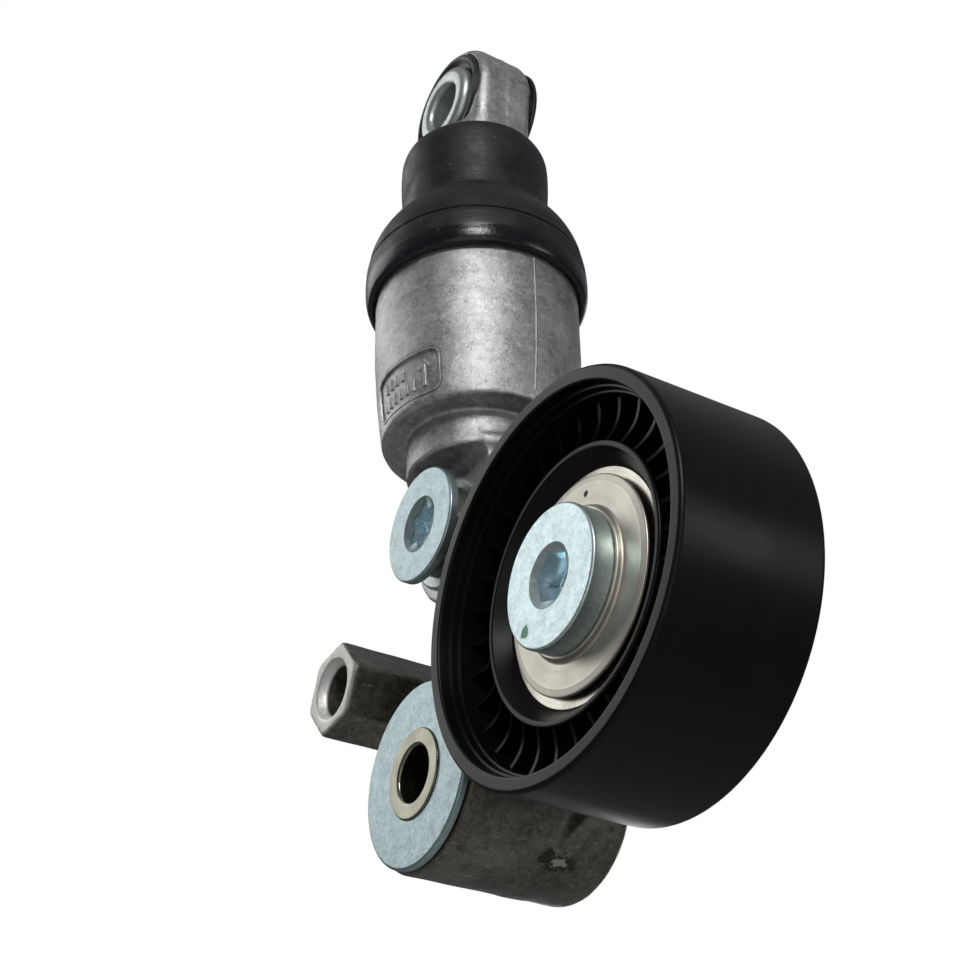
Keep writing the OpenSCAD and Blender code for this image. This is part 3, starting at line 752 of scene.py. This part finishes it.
class TENSIONER_OT_bolts(bpy.types.Operator):
    """Turn the pulley bolt and the strut bolt with their sockets"""

    bl_idname = "tensioner.bolts"
    bl_label = "Bolts"

    def execute(self, context):
        """Makes both bolts and the paint mark."""
        s = context.scene.tensioner_metal
        mark = (PULLEY[0] - 7.2, 0, PULLEY[2] - 6.9)
        zinc = zinc_plated("pulley bolt steel, zinc plated", s.zinc, PULLEY_AXIS,
                           node_box("pulley_bolt")[0][1], s.paint, mark)
        bolt_head("pulley_bolt_turned", "pulley_bolt", PULLEY_AXIS, zinc, (12.2, 4.0), 8.5, (5.2, 4.75),
                  lambda t: hexagon_radius(t, 8.0, math.radians(10)), 0.5)
        zinc = zinc_plated("strut bolt steel, zinc plated", s.washer, BOLT_AXIS,
                           node_box("strut_bolt")[0][1])
        bolt_head("strut_bolt_turned", "strut_bolt", BOLT_AXIS, zinc, (11.0, 1.8), 5.0, (4.6, 4.6),
                  lambda t: six_lobe_radius(t, 4.6, 3.4, math.radians(20)), 0.45)
        return {"FINISHED"}


class TENSIONER_OT_pivot(bpy.types.Operator):
    """Turn the pivot sleeve and its thrust washers, and finish the pivot's hidden pieces"""

    bl_idname = "tensioner.pivot"
    bl_label = "Pivot"

    def execute(self, context):
        """Makes the sleeve and both washers."""
        s = context.scene.tensioner_metal
        e = s.edge_round / MM
        zinc = zinc_plated("washer steel, zinc plated", s.washer)
        steel = machined("sleeve steel, turned", s.sleeve, PIVOT_AXIS, rough=0.24)
        low, high = node_box("pivot_sleeve")
        outer = high[0]
        corners = [(5.2, low[1], 0.7), (outer, low[1], 0.3), (outer, high[1], 0.3), (5.2, high[1], 0.5)]
        turned("pivot_sleeve_turned", rounded(corners), PIVOT_AXIS, "pivot_sleeve", "machined_steel", steel)
        for name in ("pivot_washer_front", "pivot_washer_rear"):
            low, high = node_box(name)
            corners = [(outer, low[1], 0.15), (high[0], low[1], e * 1.6), (high[0], high[1], e),
                       (outer, high[1], 0.15)]
            turned(name + "_stamped", rounded(corners), PIVOT_AXIS, name, "zinc_plate", zinc)
        rubber = moulded_rubber("face seal rubber, moulded", srgb("101012"))
        finish_nodes(["pivot_seal_front", "pivot_seal_rear"], rubber)
        bush = coated_wire("plain bush, coated steel", srgb("55504A"))
        finish_nodes(["pivot_bush_front", "pivot_bush_rear"], bush)
        return {"FINISHED"}


class TENSIONER_OT_bearing(bpy.types.Operator):
    """Shape the pulley's dust shield and finish the bearing"""

    bl_idname = "tensioner.bearing"
    bl_label = "Bearing"

    def execute(self, context):
        """Makes the front shield, and gives the bearing's own nodes their finishes."""
        s = context.scene.tensioner_metal
        # The shield's pit is a near-black dot of painted shade.
        pressed = machined("dust shield steel, pressed", s.shield, PULLEY_AXIS, rough=0.43, groove=0.8,
                           dull=0.85, pit=(PULLEY[0] + 4.0, 0, PULLEY[2] + 14.8))
        ground = machined("bearing steel, ground", srgb("BDB9AE"), PULLEY_AXIS, rough=0.26, groove=0.3)
        low, high = node_box("dust_shield_front")
        y = low[1]
        corners = [(8.5, y, 0.1), (12.7, y, 0.4), (12.9, y + 1.15, 0.5), (17.2, y + 1.3, 0.3),
                   (18.5, y + 1.5, 0.3), (18.5, y + 2.0, 0.15), (11.4, y + 2.0, 0.2), (11.4, high[1], 0.1),
                   (8.5, high[1], 0.1)]
        turned("dust_shield_pressed", rounded(corners), PULLEY_AXIS, "dust_shield_front", "shield_steel",
               pressed)
        finish_nodes(["dust_shield_rear"], pressed)
        finish_nodes(["bearing_inner_ring", "bearing_outer_ring", "bearing_balls"], ground)
        seal = moulded_rubber("bearing seal, moulded rubber", srgb("5A3626"))
        finish_nodes(["bearing_seal_front", "bearing_seal_rear"], seal)
        finish_nodes(["bearing_cage"], moulded_nylon("bearing cage nylon, moulded", srgb("C9BE9C"), 0.45))
        sleeve = machined("bolt sleeve steel, turned", srgb("8E9083"), BOLT_AXIS)
        finish_nodes(["strut_bolt_sleeve"], sleeve)
        return {"FINISHED"}


# ---------------------------------------------------------------- castings


def arm_distance(fillet):
    """Distance function of the lever arm: barrel, two bosses, hexagon, web and ribs, joined by fillets."""
    pulley, bolt, hexagon = (PULLEY[0], PULLEY[2]), (BOLT[0], BOLT[2]), HEXAGON
    plate = (22.95, 26.95, 0.8)     # front, rear and edge rounding of the web
    spine = (20.45, 29.45, 0.9)     # the same of the thick middle ribs

    def sdf(x, y, z):
        """Union of the cast shapes less the holes."""
        axis, at_pulley = np.hypot(x, z), np.hypot(x - pulley[0], z - pulley[1])
        at_bolt = np.hypot(x - bolt[0], z - bolt[1])
        at_hex = np.hypot(x - hexagon[0], z - hexagon[1])
        barrel = drum(y, axis, 17.8, 2.2, 36.6, 0.8)
        barrel = np.maximum(barrel, np.hypot(np.maximum(axis - 15.5, 0), np.maximum(y - 34.3, 0)) - 2.3)
        web = slab(bar_outline(x, z, (0, 0), 16.4, pulley, 11.5), y, *plate)
        web = np.minimum(web, slab(bar_outline(x, z, (0, 0), 16.0, bolt, 10.5), y, *plate))
        web = np.minimum(web, slab(bar_outline(x, z, bolt, 10.2, pulley, 11.2), y, *plate))
        at_middle = np.hypot(x - (pulley[0] + bolt[0]) / 3, z - (pulley[1] + bolt[1]) / 3)
        web = np.minimum(web, slab(at_middle - 9.0, y, *plate))
        rib = slab(bar_outline(x, z, (0, 0), 10.5, pulley, 8.0), y, *spine)
        rib = blend_union(rib, slab(bar_outline(x, z, (0, 0), 10.0, bolt, 7.0), y, *spine), 1.5)
        rib = blend_union(rib, slab(bar_outline(x, z, (0, 0), 11.0, hexagon, 9.0), y, 21.0, 29.0, 1.2), 2.0)
        boss = drum(y, at_bolt, 12.0, 12.35, 30.45, 0.7)
        stub = drum(y, at_pulley, 13.0 - np.clip(20.0 - y, 0, 8) * 0.25, 12.4, 30.45, 0.7)
        nut = slab(hexagon_outline(x, z, hexagon, 17.0, math.radians(8 + 30)), y, -2.5, 30.15, 0.7)
        nut = blend_cut(nut, 9.0 - at_hex + (y + 2.5) * 1.2, 0.3)
        body = blend_union(barrel, blend_union(web, rib, 1.2), fillet)
        body = blend_union(body, boss, fillet)
        body = blend_union(body, stub, fillet)
        body = blend_union(body, nut, fillet * 0.7)
        body = body - 0.05 * ripple(x, y, z, 9, 1.3)
        body = blend_cut(body, np.maximum(at_hex - 5.05, y - 13.5), 0.5)
        body = blend_cut(body, at_hex - 5.05 - np.clip(-1.0 - y, 0, 3) * 0.9, 0.2)
        body = blend_cut(body, axis - 9.0, 0.3)
        body = blend_cut(body, at_bolt - 5.0, 0.3)
        body = blend_cut(body, at_pulley - 5.0, 0.3)
        body = blend_cut(body, np.maximum(axis - 15.4, 35.1 - y), 0.2)
        ends = np.minimum(np.abs(y - 2.2), np.abs(y - 35.1)) - 1.4
        return blend_cut(body, np.maximum(np.abs(axis - 14.0) - 0.85, ends), 0.2)

    return sdf


PANEL_TURN, PANEL_ARC, PANEL_HEIGHT, PANEL_DEPTH = math.radians(-81), 19.6, 67.6, 0.5


def wall_radius(z):
    """Outer radius of the strut's drum at a height, straight between four heights."""
    return np.interp(z, [61.0, 66.0, 72.0, 81.0], [18.75, 19.35, 19.9, 20.4])


def raised_strip(angle, z, sink, width, height):
    """A raised line cast on the drum's wall, through points at an angle and a height, sunk by sink.

    At each point, the outward way n is radial, and the way across is n x d, with d the direction of the
    path. The section is a low trapezoid from 0.25 mm inside the wall to its height above it.
    """
    r = wall_radius(z) - sink
    n = np.stack([np.cos(angle), np.sin(angle), np.zeros_like(angle)], axis=1)
    path = n * r[:, None] + np.array([STRUT[0], STRUT[1], 0])
    path[:, 2] = z
    ahead = np.gradient(path, axis=0)
    across = np.cross(n, ahead)
    across /= np.linalg.norm(across, axis=1)[:, None]
    side = np.array([-0.5, -0.42, -0.2, 0.2, 0.42, 0.5]) * width
    lift = np.array([-0.25, height * 0.55, height, height, height * 0.55, -0.25])
    points = path[:, None] + across[:, None] * side[None, :, None] + n[:, None] * lift[None, :, None]
    end = (len(path) - 1) * len(side)
    caps = [[0, 5, 4, 1], [1, 4, 3, 2]]
    caps += [[end, end + 1, end + 4, end + 5], [end + 1, end + 2, end + 3, end + 4]]
    return points.reshape(-1, 3), np.concatenate([tube_faces(len(path), len(side)), caps])


def strip_between(start, end, width, height, sink=0.0):
    """A straight raised line in the panel's own plane, from (along, rise) to (along, rise)."""
    u = np.linspace(0, 1, 24)
    along, rise = (start[k] + (end[k] - start[k]) * u for k in (0, 1))
    return raised_strip(PANEL_TURN + along / PANEL_ARC, PANEL_HEIGHT + rise, sink, width, height)


def housing_marks():
    """The raised lines of the housing: panel frame, arrow, two rows of plain pads and two mould lines."""
    t = np.linspace(0, 2 * math.pi, 161)
    reach = (np.abs(np.cos(t)) ** 7 + np.abs(np.sin(t)) ** 7) ** (-1 / 7)
    strips = [raised_strip(PANEL_TURN + 9.0 * reach * np.cos(t) / PANEL_ARC,
                           PANEL_HEIGHT + 4.7 * reach * np.sin(t), 0.0, 0.4, 0.07)]
    lines = [((5.6, -2.8), (5.6, 2.4)), ((4.3, 0.9), (5.7, 2.7)), ((6.9, 0.9), (5.5, 2.7))]
    lines += [((x, 0.6), (x, 2.8)) for x in (-5.4, -3.6, -1.8, 0.0)]
    lines += [((x, -2.9), (x, -0.7)) for x in (-6.3, -4.5, -2.7, -0.9, 0.9, 2.7)]
    for start, end in lines:
        strips.append(strip_between(start, end, 0.9, 0.36, PANEL_DEPTH))
    z = np.linspace(63.5, 101.0, 60)
    for turn in (0.01, math.pi + 0.01):
        strips.append(raised_strip(np.full_like(z, turn), z, 0.0, 0.55, 0.16))
    counts = np.cumsum([0] + [len(points) for points, _ in strips])
    points = np.concatenate([points for points, _ in strips])
    return points, np.concatenate([faces + start for (_, faces), start in zip(strips, counts)])


def housing_distance(fillet):
    """Distance function of the strut housing: tapered drum, neck, lower eye and sunk panel."""
    cx, cy = STRUT[0], STRUT[1]

    def sdf(x, y, z):
        """Union of drum, neck and eye, less the bores and the panel."""
        u, v = x - cx, y - cy
        radial = np.hypot(u, v)
        radius = wall_radius(np.broadcast_to(z, np.broadcast(x, y, z).shape))
        angle = np.arctan2(v, u)
        drum_wall = -blend_union(-(radial - radius), -(np.abs(z - 81.5) - 20.5), 1.0)
        neck = drum(z, radial, 14.0, 53.4, 70.0, 0.6)
        body = blend_union(drum_wall, neck, 0.6)
        at_bolt = np.hypot(x - BOLT[0], z - BOLT[2])
        lug = bar_outline(x, z, (BOLT[0], BOLT[2]), 13.0, (BOLT[0], BOLT[2] + 15), 13.2)
        lug = slab(lug, y, cy - 6, cy + 8, 0.9)
        lug = np.maximum(np.maximum(lug, z - 54), radial - 13.4 - np.maximum(47 - z, 0))
        body = blend_union(body, lug, fillet)
        body = body - 0.05 * ripple(x, y, z, 8, 0.4)
        along = (angle - PANEL_TURN) * PANEL_ARC
        rise = z - PANEL_HEIGHT
        panel = np.hypot(np.maximum(np.abs(along) - 6.8, 0), np.maximum(np.abs(rise) - 2.5, 0)) - 2.2
        facing = (np.abs(along) < 16) & (z > 60)
        body = body + np.where(facing, PANEL_DEPTH * np.clip(0.5 - panel / 0.6, 0, 1), 0)
        body = blend_cut(body, at_bolt - 9.0, 0.5)
        return blend_cut(body, np.maximum(radial - 17.4, 65.0 - z), 0.5)

    return sdf


def eye_distance(fillet):
    """Distance function of the top eye: ring for the bush, round stem and spring flange."""
    cx, cy = STRUT[0], STRUT[1]
    flange = node_box("top_eye")[0][2]

    def sdf(x, y, z):
        """Union of the ring with its neck, stem and flange, less the bush seat and the rod's hole."""
        radial = np.hypot(x - cx, y - cy)
        at_eye = np.hypot(x - EYE[0], z - EYE[2])
        ring = bar_outline(x, z, (cx, 131.0), 11.6, (EYE[0], EYE[2]), 13.9)
        ring = slab(ring, y, cy - 6.9, cy + 6.9, 2.9)
        stem = drum(z, radial, 12.2, flange + 1, 137.2, 2.4)
        body = blend_union(ring, stem, fillet)
        body = blend_union(body, drum(z, radial, 14.6, flange, flange + 2, 0.4), 0.8)
        line = 0.14 * np.exp(-(((y - cy - 0.5) / 0.35) ** 2))
        body = body - 0.05 * ripple(x, y, z, 7, 2.2) - line
        body = blend_cut(body, at_eye - 12.3, 0.7)
        return blend_cut(body, np.maximum(radial - 4.0, z - flange - 13), 0.3)

    return sdf


def cast_piece(name, node, slot, sdf, cell, material):
    """A casting: the surface net of its distance function, inside its CAD node's box."""
    low, high = node_box(node)
    points, quads = surface_net(sdf, low - 0.3, high + 0.3, cell)
    return make_piece(name, points, quads, node, slot, material, 60)


class TENSIONER_OT_castings(bpy.types.Operator):
    """Cast the lever arm, the strut housing and the top eye"""

    bl_idname = "tensioner.castings"
    bl_label = "Castings"

    def execute(self, context):
        """Makes the three castings."""
        s = context.scene.tensioner_casting
        cell, fillet = s.cell / MM, s.fillet / MM
        # The arm's material paints a highlight on the hexagon's countersink and front face.
        arm = die_cast("arm aluminium, die cast", s.arm_light, s.arm_dark, 0.38, 0.7,
                       (HEXAGON[0], 0, HEXAGON[1]), GATE_SCAR)
        strut = die_cast("strut aluminium, die cast", s.strut_light, s.strut_dark, 0.36, 0.5)
        cast_piece("lever_arm_cast", "lever_arm", "arm_casting", arm_distance(fillet), cell, arm)
        cast_piece("strut_housing_cast", "strut_housing", "strut_casting", housing_distance(fillet),
                   cell * 0.8, strut)
        cast_piece("top_eye_cast", "top_eye", "strut_casting", eye_distance(fillet), cell * 0.8, strut)
        make_piece("strut_housing_marks", *housing_marks(), "strut_housing", "strut_casting", strut, 40)
        return {"FINISHED"}


# ---------------------------------------------------------------- boot and bushes


def smooth_curve(points, per_span=6):
    """Catmull-Rom curve through the points: cubics whose end slopes are half the chord across each point."""
    p = np.array(points, float)
    p = np.concatenate([[2 * p[0] - p[1]], p, [2 * p[-1] - p[-2]]])
    t = np.linspace(0, 1, per_span, endpoint=False)[:, None]
    spans = []
    for a, b, c, d in zip(p[:-3], p[1:-2], p[2:-1], p[3:]):
        spans.append(0.5 * (2 * b + (c - a) * t + (2 * a - 5 * b + 4 * c - d) * t ** 2
                            + (3 * b - a - 3 * c + d) * t ** 3))
    return np.concatenate(spans + [p[-2:-1]])


def boot_profile(wall):
    """Closed section of the boot: lip, bulging dome with a mould line, crease, collar and the inside."""
    z = node_box("boot")[0][2]
    top = node_box("boot")[1][2]
    outer = smooth_curve([(20.45, z + 0.9), (20.9, z + 0.25), (21.6, z + 0.05), (22.25, z + 0.7),
                          (22.62, z + 2.4), (22.7, z + 5.0), (22.55, z + 7.6), (22.3, z + 8.5)])
    seam = [(22.05, z + 8.62), (22.05, z + 8.8), (22.32, z + 8.95)]
    dome = smooth_curve([(22.2, z + 9.6), (21.7, z + 12.0), (20.6, z + 14.8), (19.0, z + 17.5),
                         (17.4, z + 19.5), (16.65, z + 20.3), (16.35, z + 20.8)])
    collar = smooth_curve([(16.0, z + 21.1), (15.4, z + 21.6), (15.2, z + 22.8), (15.35, z + 27.0),
                           (15.6, z + 32.0), (15.62, z + 35.6), (15.4, z + 37.5), (14.7, z + 38.9),
                           (13.5, z + 39.7), (12.5, top)])
    inner = smooth_curve([(12.25, top - 0.6), (12.25, top - 4.0), (12.9, z + 32.0), (15.4 - wall, z + 27.0),
                          (15.35 - wall, z + 22.5), (15.2, z + 19.0), (18.0, z + 14.6), (20.0, z + 10.3),
                          (20.45, z + 8.4), (20.45, z + 5.0)])
    return np.concatenate([outer, seam, dome, collar, inner])


def coil_mesh(radius, wire, turns, low, high, centre, steps=28, sides=12):
    """A helix of round wire: the section's centre is at angle 2 pi n u, u from 0 to 1, n the turns.

    The end turns lie closer: the height follows u - sin(2 pi u) / (2 pi) * 0.35 across the length.
    """
    count = int(turns * steps) + 1
    u = np.linspace(0, 1, count)
    rise = low + (high - low) * (u - 0.35 * np.sin(2 * math.pi * u) / (2 * math.pi))
    a = 2 * math.pi * turns * u
    b = np.arange(sides) * (2 * math.pi / sides)
    r = radius + wire * np.cos(b)[None, :]
    z = rise[:, None] + wire * np.sin(b)[None, :]
    points = np.stack([r * np.cos(a)[:, None], r * np.sin(a)[:, None], z], axis=-1).reshape(-1, 3)
    caps = []
    for row, flip in ((0, True), (count - 1, False)):
        hub = len(points)
        points = np.concatenate([points, points[row * sides:(row + 1) * sides].mean(axis=0)[None]])
        ring = row * sides + np.arange(sides)
        cap = np.stack([ring, np.roll(ring, -1), np.full(sides, hub), np.full(sides, hub)], axis=1)
        caps.append(cap[:, [1, 0, 2, 3]] if flip else cap)
    return points + np.array([centre[0], centre[1], 0]), np.concatenate([tube_faces(count, sides), *caps])


class TENSIONER_OT_boot(bpy.types.Operator):
    """Mould the rubber boot and wind the main spring inside it"""

    bl_idname = "tensioner.boot"
    bl_label = "Boot"

    def execute(self, context):
        """Makes the boot and the spring."""
        s = context.scene.tensioner_rubber
        rubber = moulded_rubber("boot rubber, compression moulded", s.boot,
                                gloss_below=node_box("boot")[0][2] + 4.2)
        axis = (STRUT[0], STRUT[1], 0)

        def sag(r, h, t):
            """The dome leans and swells by a tenth of a millimetre or two, as soft rubber does."""
            return r - 0.15 + 0.10 * np.sin(2 * t + 0.6) * np.sin(h / 6) + 0.05 * np.sin(5 * t + h / 9), h

        boot = turned("boot_moulded", boot_profile(s.wall / MM), axis, "boot", "boot_rubber", rubber, "Z",
                      shape=sag, around=224, rides=False)
        wire = coated_wire("main spring wire, phosphated", srgb("3A3D40"))
        low, high = node_box("main_spring")
        points, faces = coil_mesh(12.3, 1.5, 5.5, low[2] + 1.5, high[2] - 1.5, axis)
        spring = make_piece("main_spring_wound", points, faces, "main_spring", "spring_wire", wire, 50,
                            rides=False)
        for piece, node, above, below in ((boot, "boot", 8.6, 15.0), (spring, "main_spring", 1.0, 1.0)):
            low, high = node_box(node)
            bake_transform(piece)
        return {"FINISHED"}


class TENSIONER_OT_bushes(bpy.types.Operator):
    """Shape the top eye's bush and sleeve and the lower eye's bush"""

    bl_idname = "tensioner.bushes"
    bl_label = "Bushes"

    def execute(self, context):
        """Makes both bushes and the eye's sleeve."""
        rubber = moulded_rubber("eye bush rubber, moulded", context.scene.tensioner_rubber.bush, 0.42)
        zinc = zinc_plated("eye sleeve steel, zinc plated", srgb("B9BFBB"))
        low, high = node_box("eye_bush")
        front, rear = low[1], high[1]
        corners = [(9.2, front + 1.4, 0.3), (10.2, front + 0.9, 0.6), (11.1, front, 0.5),
                   (11.9, front + 0.1, 0.3), (12.3, front + 1.2, 0.2), (12.3, rear - 1.0, 0.1),
                   (13.2, rear - 1.0, 0.2), (13.2, rear, 0.4), (9.2, rear, 0.3)]
        turned("eye_bush_moulded", rounded(corners), EYE_AXIS, "eye_bush", "black_bush", rubber)
        low, high = node_box("eye_sleeve")
        corners = [(5.1, low[1], 1.5), (9.18, low[1], 1.7), (9.18, high[1], 1.7), (5.1, high[1], 1.5)]
        turned("eye_sleeve_formed", rounded(corners, steps=8), EYE_AXIS, "eye_sleeve", "zinc_plate", zinc)
        low, high = node_box("strut_bush")
        front, rear = low[1], high[1]
        corners = [(7.05, front, 0.4), (10.8, front, 0.7), (10.8, front + 1.8, 0.3), (9.0, front + 1.8, 0.1),
                   (9.0, rear, 0.2), (7.05, rear, 0.2)]
        turned("strut_bush_pressed", rounded(corners), BOLT_AXIS, "strut_bush", "zinc_plate", zinc)
        return {"FINISHED"}


class TENSIONER_OT_hydraulics(bpy.types.Operator):
    """Finish the hydraulic element inside the strut"""

    bl_idname = "tensioner.hydraulics"
    bl_label = "Hydraulic element"

    def execute(self, context):
        """Gives the hidden pieces of the strut their finishes."""
        axis = (STRUT[0], 0, 90)
        ground = machined("cylinder steel, ground", srgb("A9ABAD"), axis, rough=0.22, groove=0.3)
        finish_nodes(["pressure_cylinder", "piston", "piston_rod", "check_valve_seat", "check_valve_ball"],
                     ground)
        pressed = machined("valve cap steel, pressed", srgb("9A9A98"), axis, rough=0.38, groove=0.6)
        finish_nodes(["check_valve_cage", "spring_seat_lower", "spring_seat_upper"], pressed)
        bronze = machined("rod guide bronze, sintered", srgb("A8804C"), axis, rough=0.5, groove=0.5)
        finish_nodes(["rod_guide"], bronze)
        finish_nodes(["check_valve_spring"], coated_wire("valve spring wire, drawn", srgb("6E7072")))
        return {"FINISHED"}


# ---------------------------------------------------------------- studio


def add_light(name, place, target, size, power, tone=(1, 1, 1)):
    """A square soft light at a place in metres, facing a target."""
    data = bpy.data.lights.new(name, "AREA")
    data.shape, data.size, data.energy, data.color = "SQUARE", size, power, tone
    lamp = bpy.data.objects.new(name, data)
    lamp.location = place
    lamp.rotation_euler = (Vector(target) - Vector(place)).to_track_quat("-Z", "Y").to_euler()
    bpy.context.scene.collection.objects.link(lamp)
    return lamp


class TENSIONER_OT_stage(bpy.types.Operator):
    """Set up the floor, the soft lights and the camera"""

    bl_idname = "tensioner.stage"
    bl_label = "Stage"

    def execute(self, context):
        """Makes the stage, the world and the camera."""
        s = context.scene.tensioner_studio
        scene = context.scene
        self.camera(scene, s)
        half = 20.0     # half the floor's side, in metres
        corners = [(-half, -half), (half, -half), (half, half), (-half, half)]
        mesh = bpy.data.meshes.new("floor")
        mesh.from_pydata([(x, y, -s.floor_drop) for x, y in corners], [], [(0, 1, 2, 3)])
        floor = bpy.data.objects.new("floor", mesh)
        scene.collection.objects.link(floor)
        material, add, place = new_material("studio floor, matt paper", Roughness=0.9)
        paper = laid_over(add, rgba(s.floor), shade(s.floor, 0.97), add("TexNoise", pattern(place, 400, 2)))
        glow = weighted(add, (add("LightPath", out="Is Camera Ray"), 0.75))
        finish_piece(floor, finish_shader(material, paper, Emission_Color=paper, Emission_Strength=glow))
        scene.world = bpy.data.worlds.new("studio")
        scene.world.use_nodes = True
        tree = scene.world.node_tree
        add = functools.partial(add_node, tree)
        height = add("SeparateXYZ", {0: add("TexCoord", out="Generated")}, out="Z")
        dome = laid_over(add, (0.035, 0.036, 0.038, 1), (0.30, 0.305, 0.315), height)
        sky = laid_over(add, dome, (1, 1, 1), add("LightPath", out="Is Camera Ray"))
        tree.links.new(sky, tree.nodes["Background"].inputs["Color"])
        scene.view_settings.view_transform = "Standard"
        target = (0.02, 0.0, 0.06)
        add_light("key light", (-0.66, -0.43, 0.57), target, 0.7, 2.6)
        add_light("strut light", (0.78, -0.45, 0.52), target, 0.22, 4.8)
        add_light("camera fill", (0.5, -0.35, -0.12), target, 0.5, 0.6)
        add_light("low rim light", (0.93, 0.50, 0.16), target, 0.30, 1.2)
        add_light("back light", (-0.62, 0.75, 0.32), target, 0.6, 3.0)
        return {"FINISHED"}

    def camera(self, scene, s):
        """A camera at an azimuth, elevation and roll about a target between the pulley and the strut."""
        data = bpy.data.cameras.new("camera")
        data.sensor_width, data.lens, data.clip_start = 36.0, s.lens, 0.01
        camera = bpy.data.objects.new("camera", data)
        target = Vector((0.0259, -0.0012, 0.0479))
        level = math.cos(s.elevation)
        back = Vector((math.sin(s.azimuth) * level, -math.cos(s.azimuth) * level, math.sin(s.elevation)))
        turn = (-back).to_track_quat("-Z", "Y").to_matrix().to_4x4() @ Matrix.Rotation(s.roll, 4, "Z")
        camera.matrix_world = Matrix.Translation(target + back * s.distance) @ turn
        scene.collection.objects.link(camera)
        scene.camera = camera


# ---------------------------------------------------------------- panel and registration


class TENSIONER_PT_panel(bpy.types.Panel):
    """Buttons for each group of pieces"""

    bl_idname = "TENSIONER_PT_panel"
    bl_label = "Tensioner"
    bl_space_type = "VIEW_3D"
    bl_region_type = "UI"
    bl_category = "Tensioner"

    def draw(self, context):
        """Lists the operators and the settings."""
        for operator in OPERATORS:
            self.layout.operator(operator.bl_idname)
        for group in GROUPS:
            box = self.layout.box()
            settings = getattr(context.scene, group)
            for key in settings.bl_rna.properties.keys():
                if key not in ("rna_type", "name"):
                    box.prop(settings, key)


OPERATORS = (TENSIONER_OT_stage, TENSIONER_OT_pulley, TENSIONER_OT_bolts, TENSIONER_OT_pivot,
             TENSIONER_OT_bearing, TENSIONER_OT_castings, TENSIONER_OT_boot, TENSIONER_OT_bushes,
             TENSIONER_OT_hydraulics)


def register():
    """Registers the settings, the operators and the panel."""
    for cls in (*GROUPS.values(), *OPERATORS, TENSIONER_PT_panel):
        bpy.utils.register_class(cls)
    for name, cls in GROUPS.items():
        setattr(bpy.types.Scene, name, PointerProperty(type=cls))


def unregister():
    """Takes them away again."""
    for name in GROUPS:
        delattr(bpy.types.Scene, name)
    for cls in reversed((*GROUPS.values(), *OPERATORS, TENSIONER_PT_panel)):
        bpy.utils.unregister_class(cls)


def main():
    """Builds every piece in order."""
    register()
    for operator in OPERATORS:
        group, name = operator.bl_idname.split(".")
        getattr(getattr(bpy.ops, group), name)()


if __name__ == "__main__":
    main()
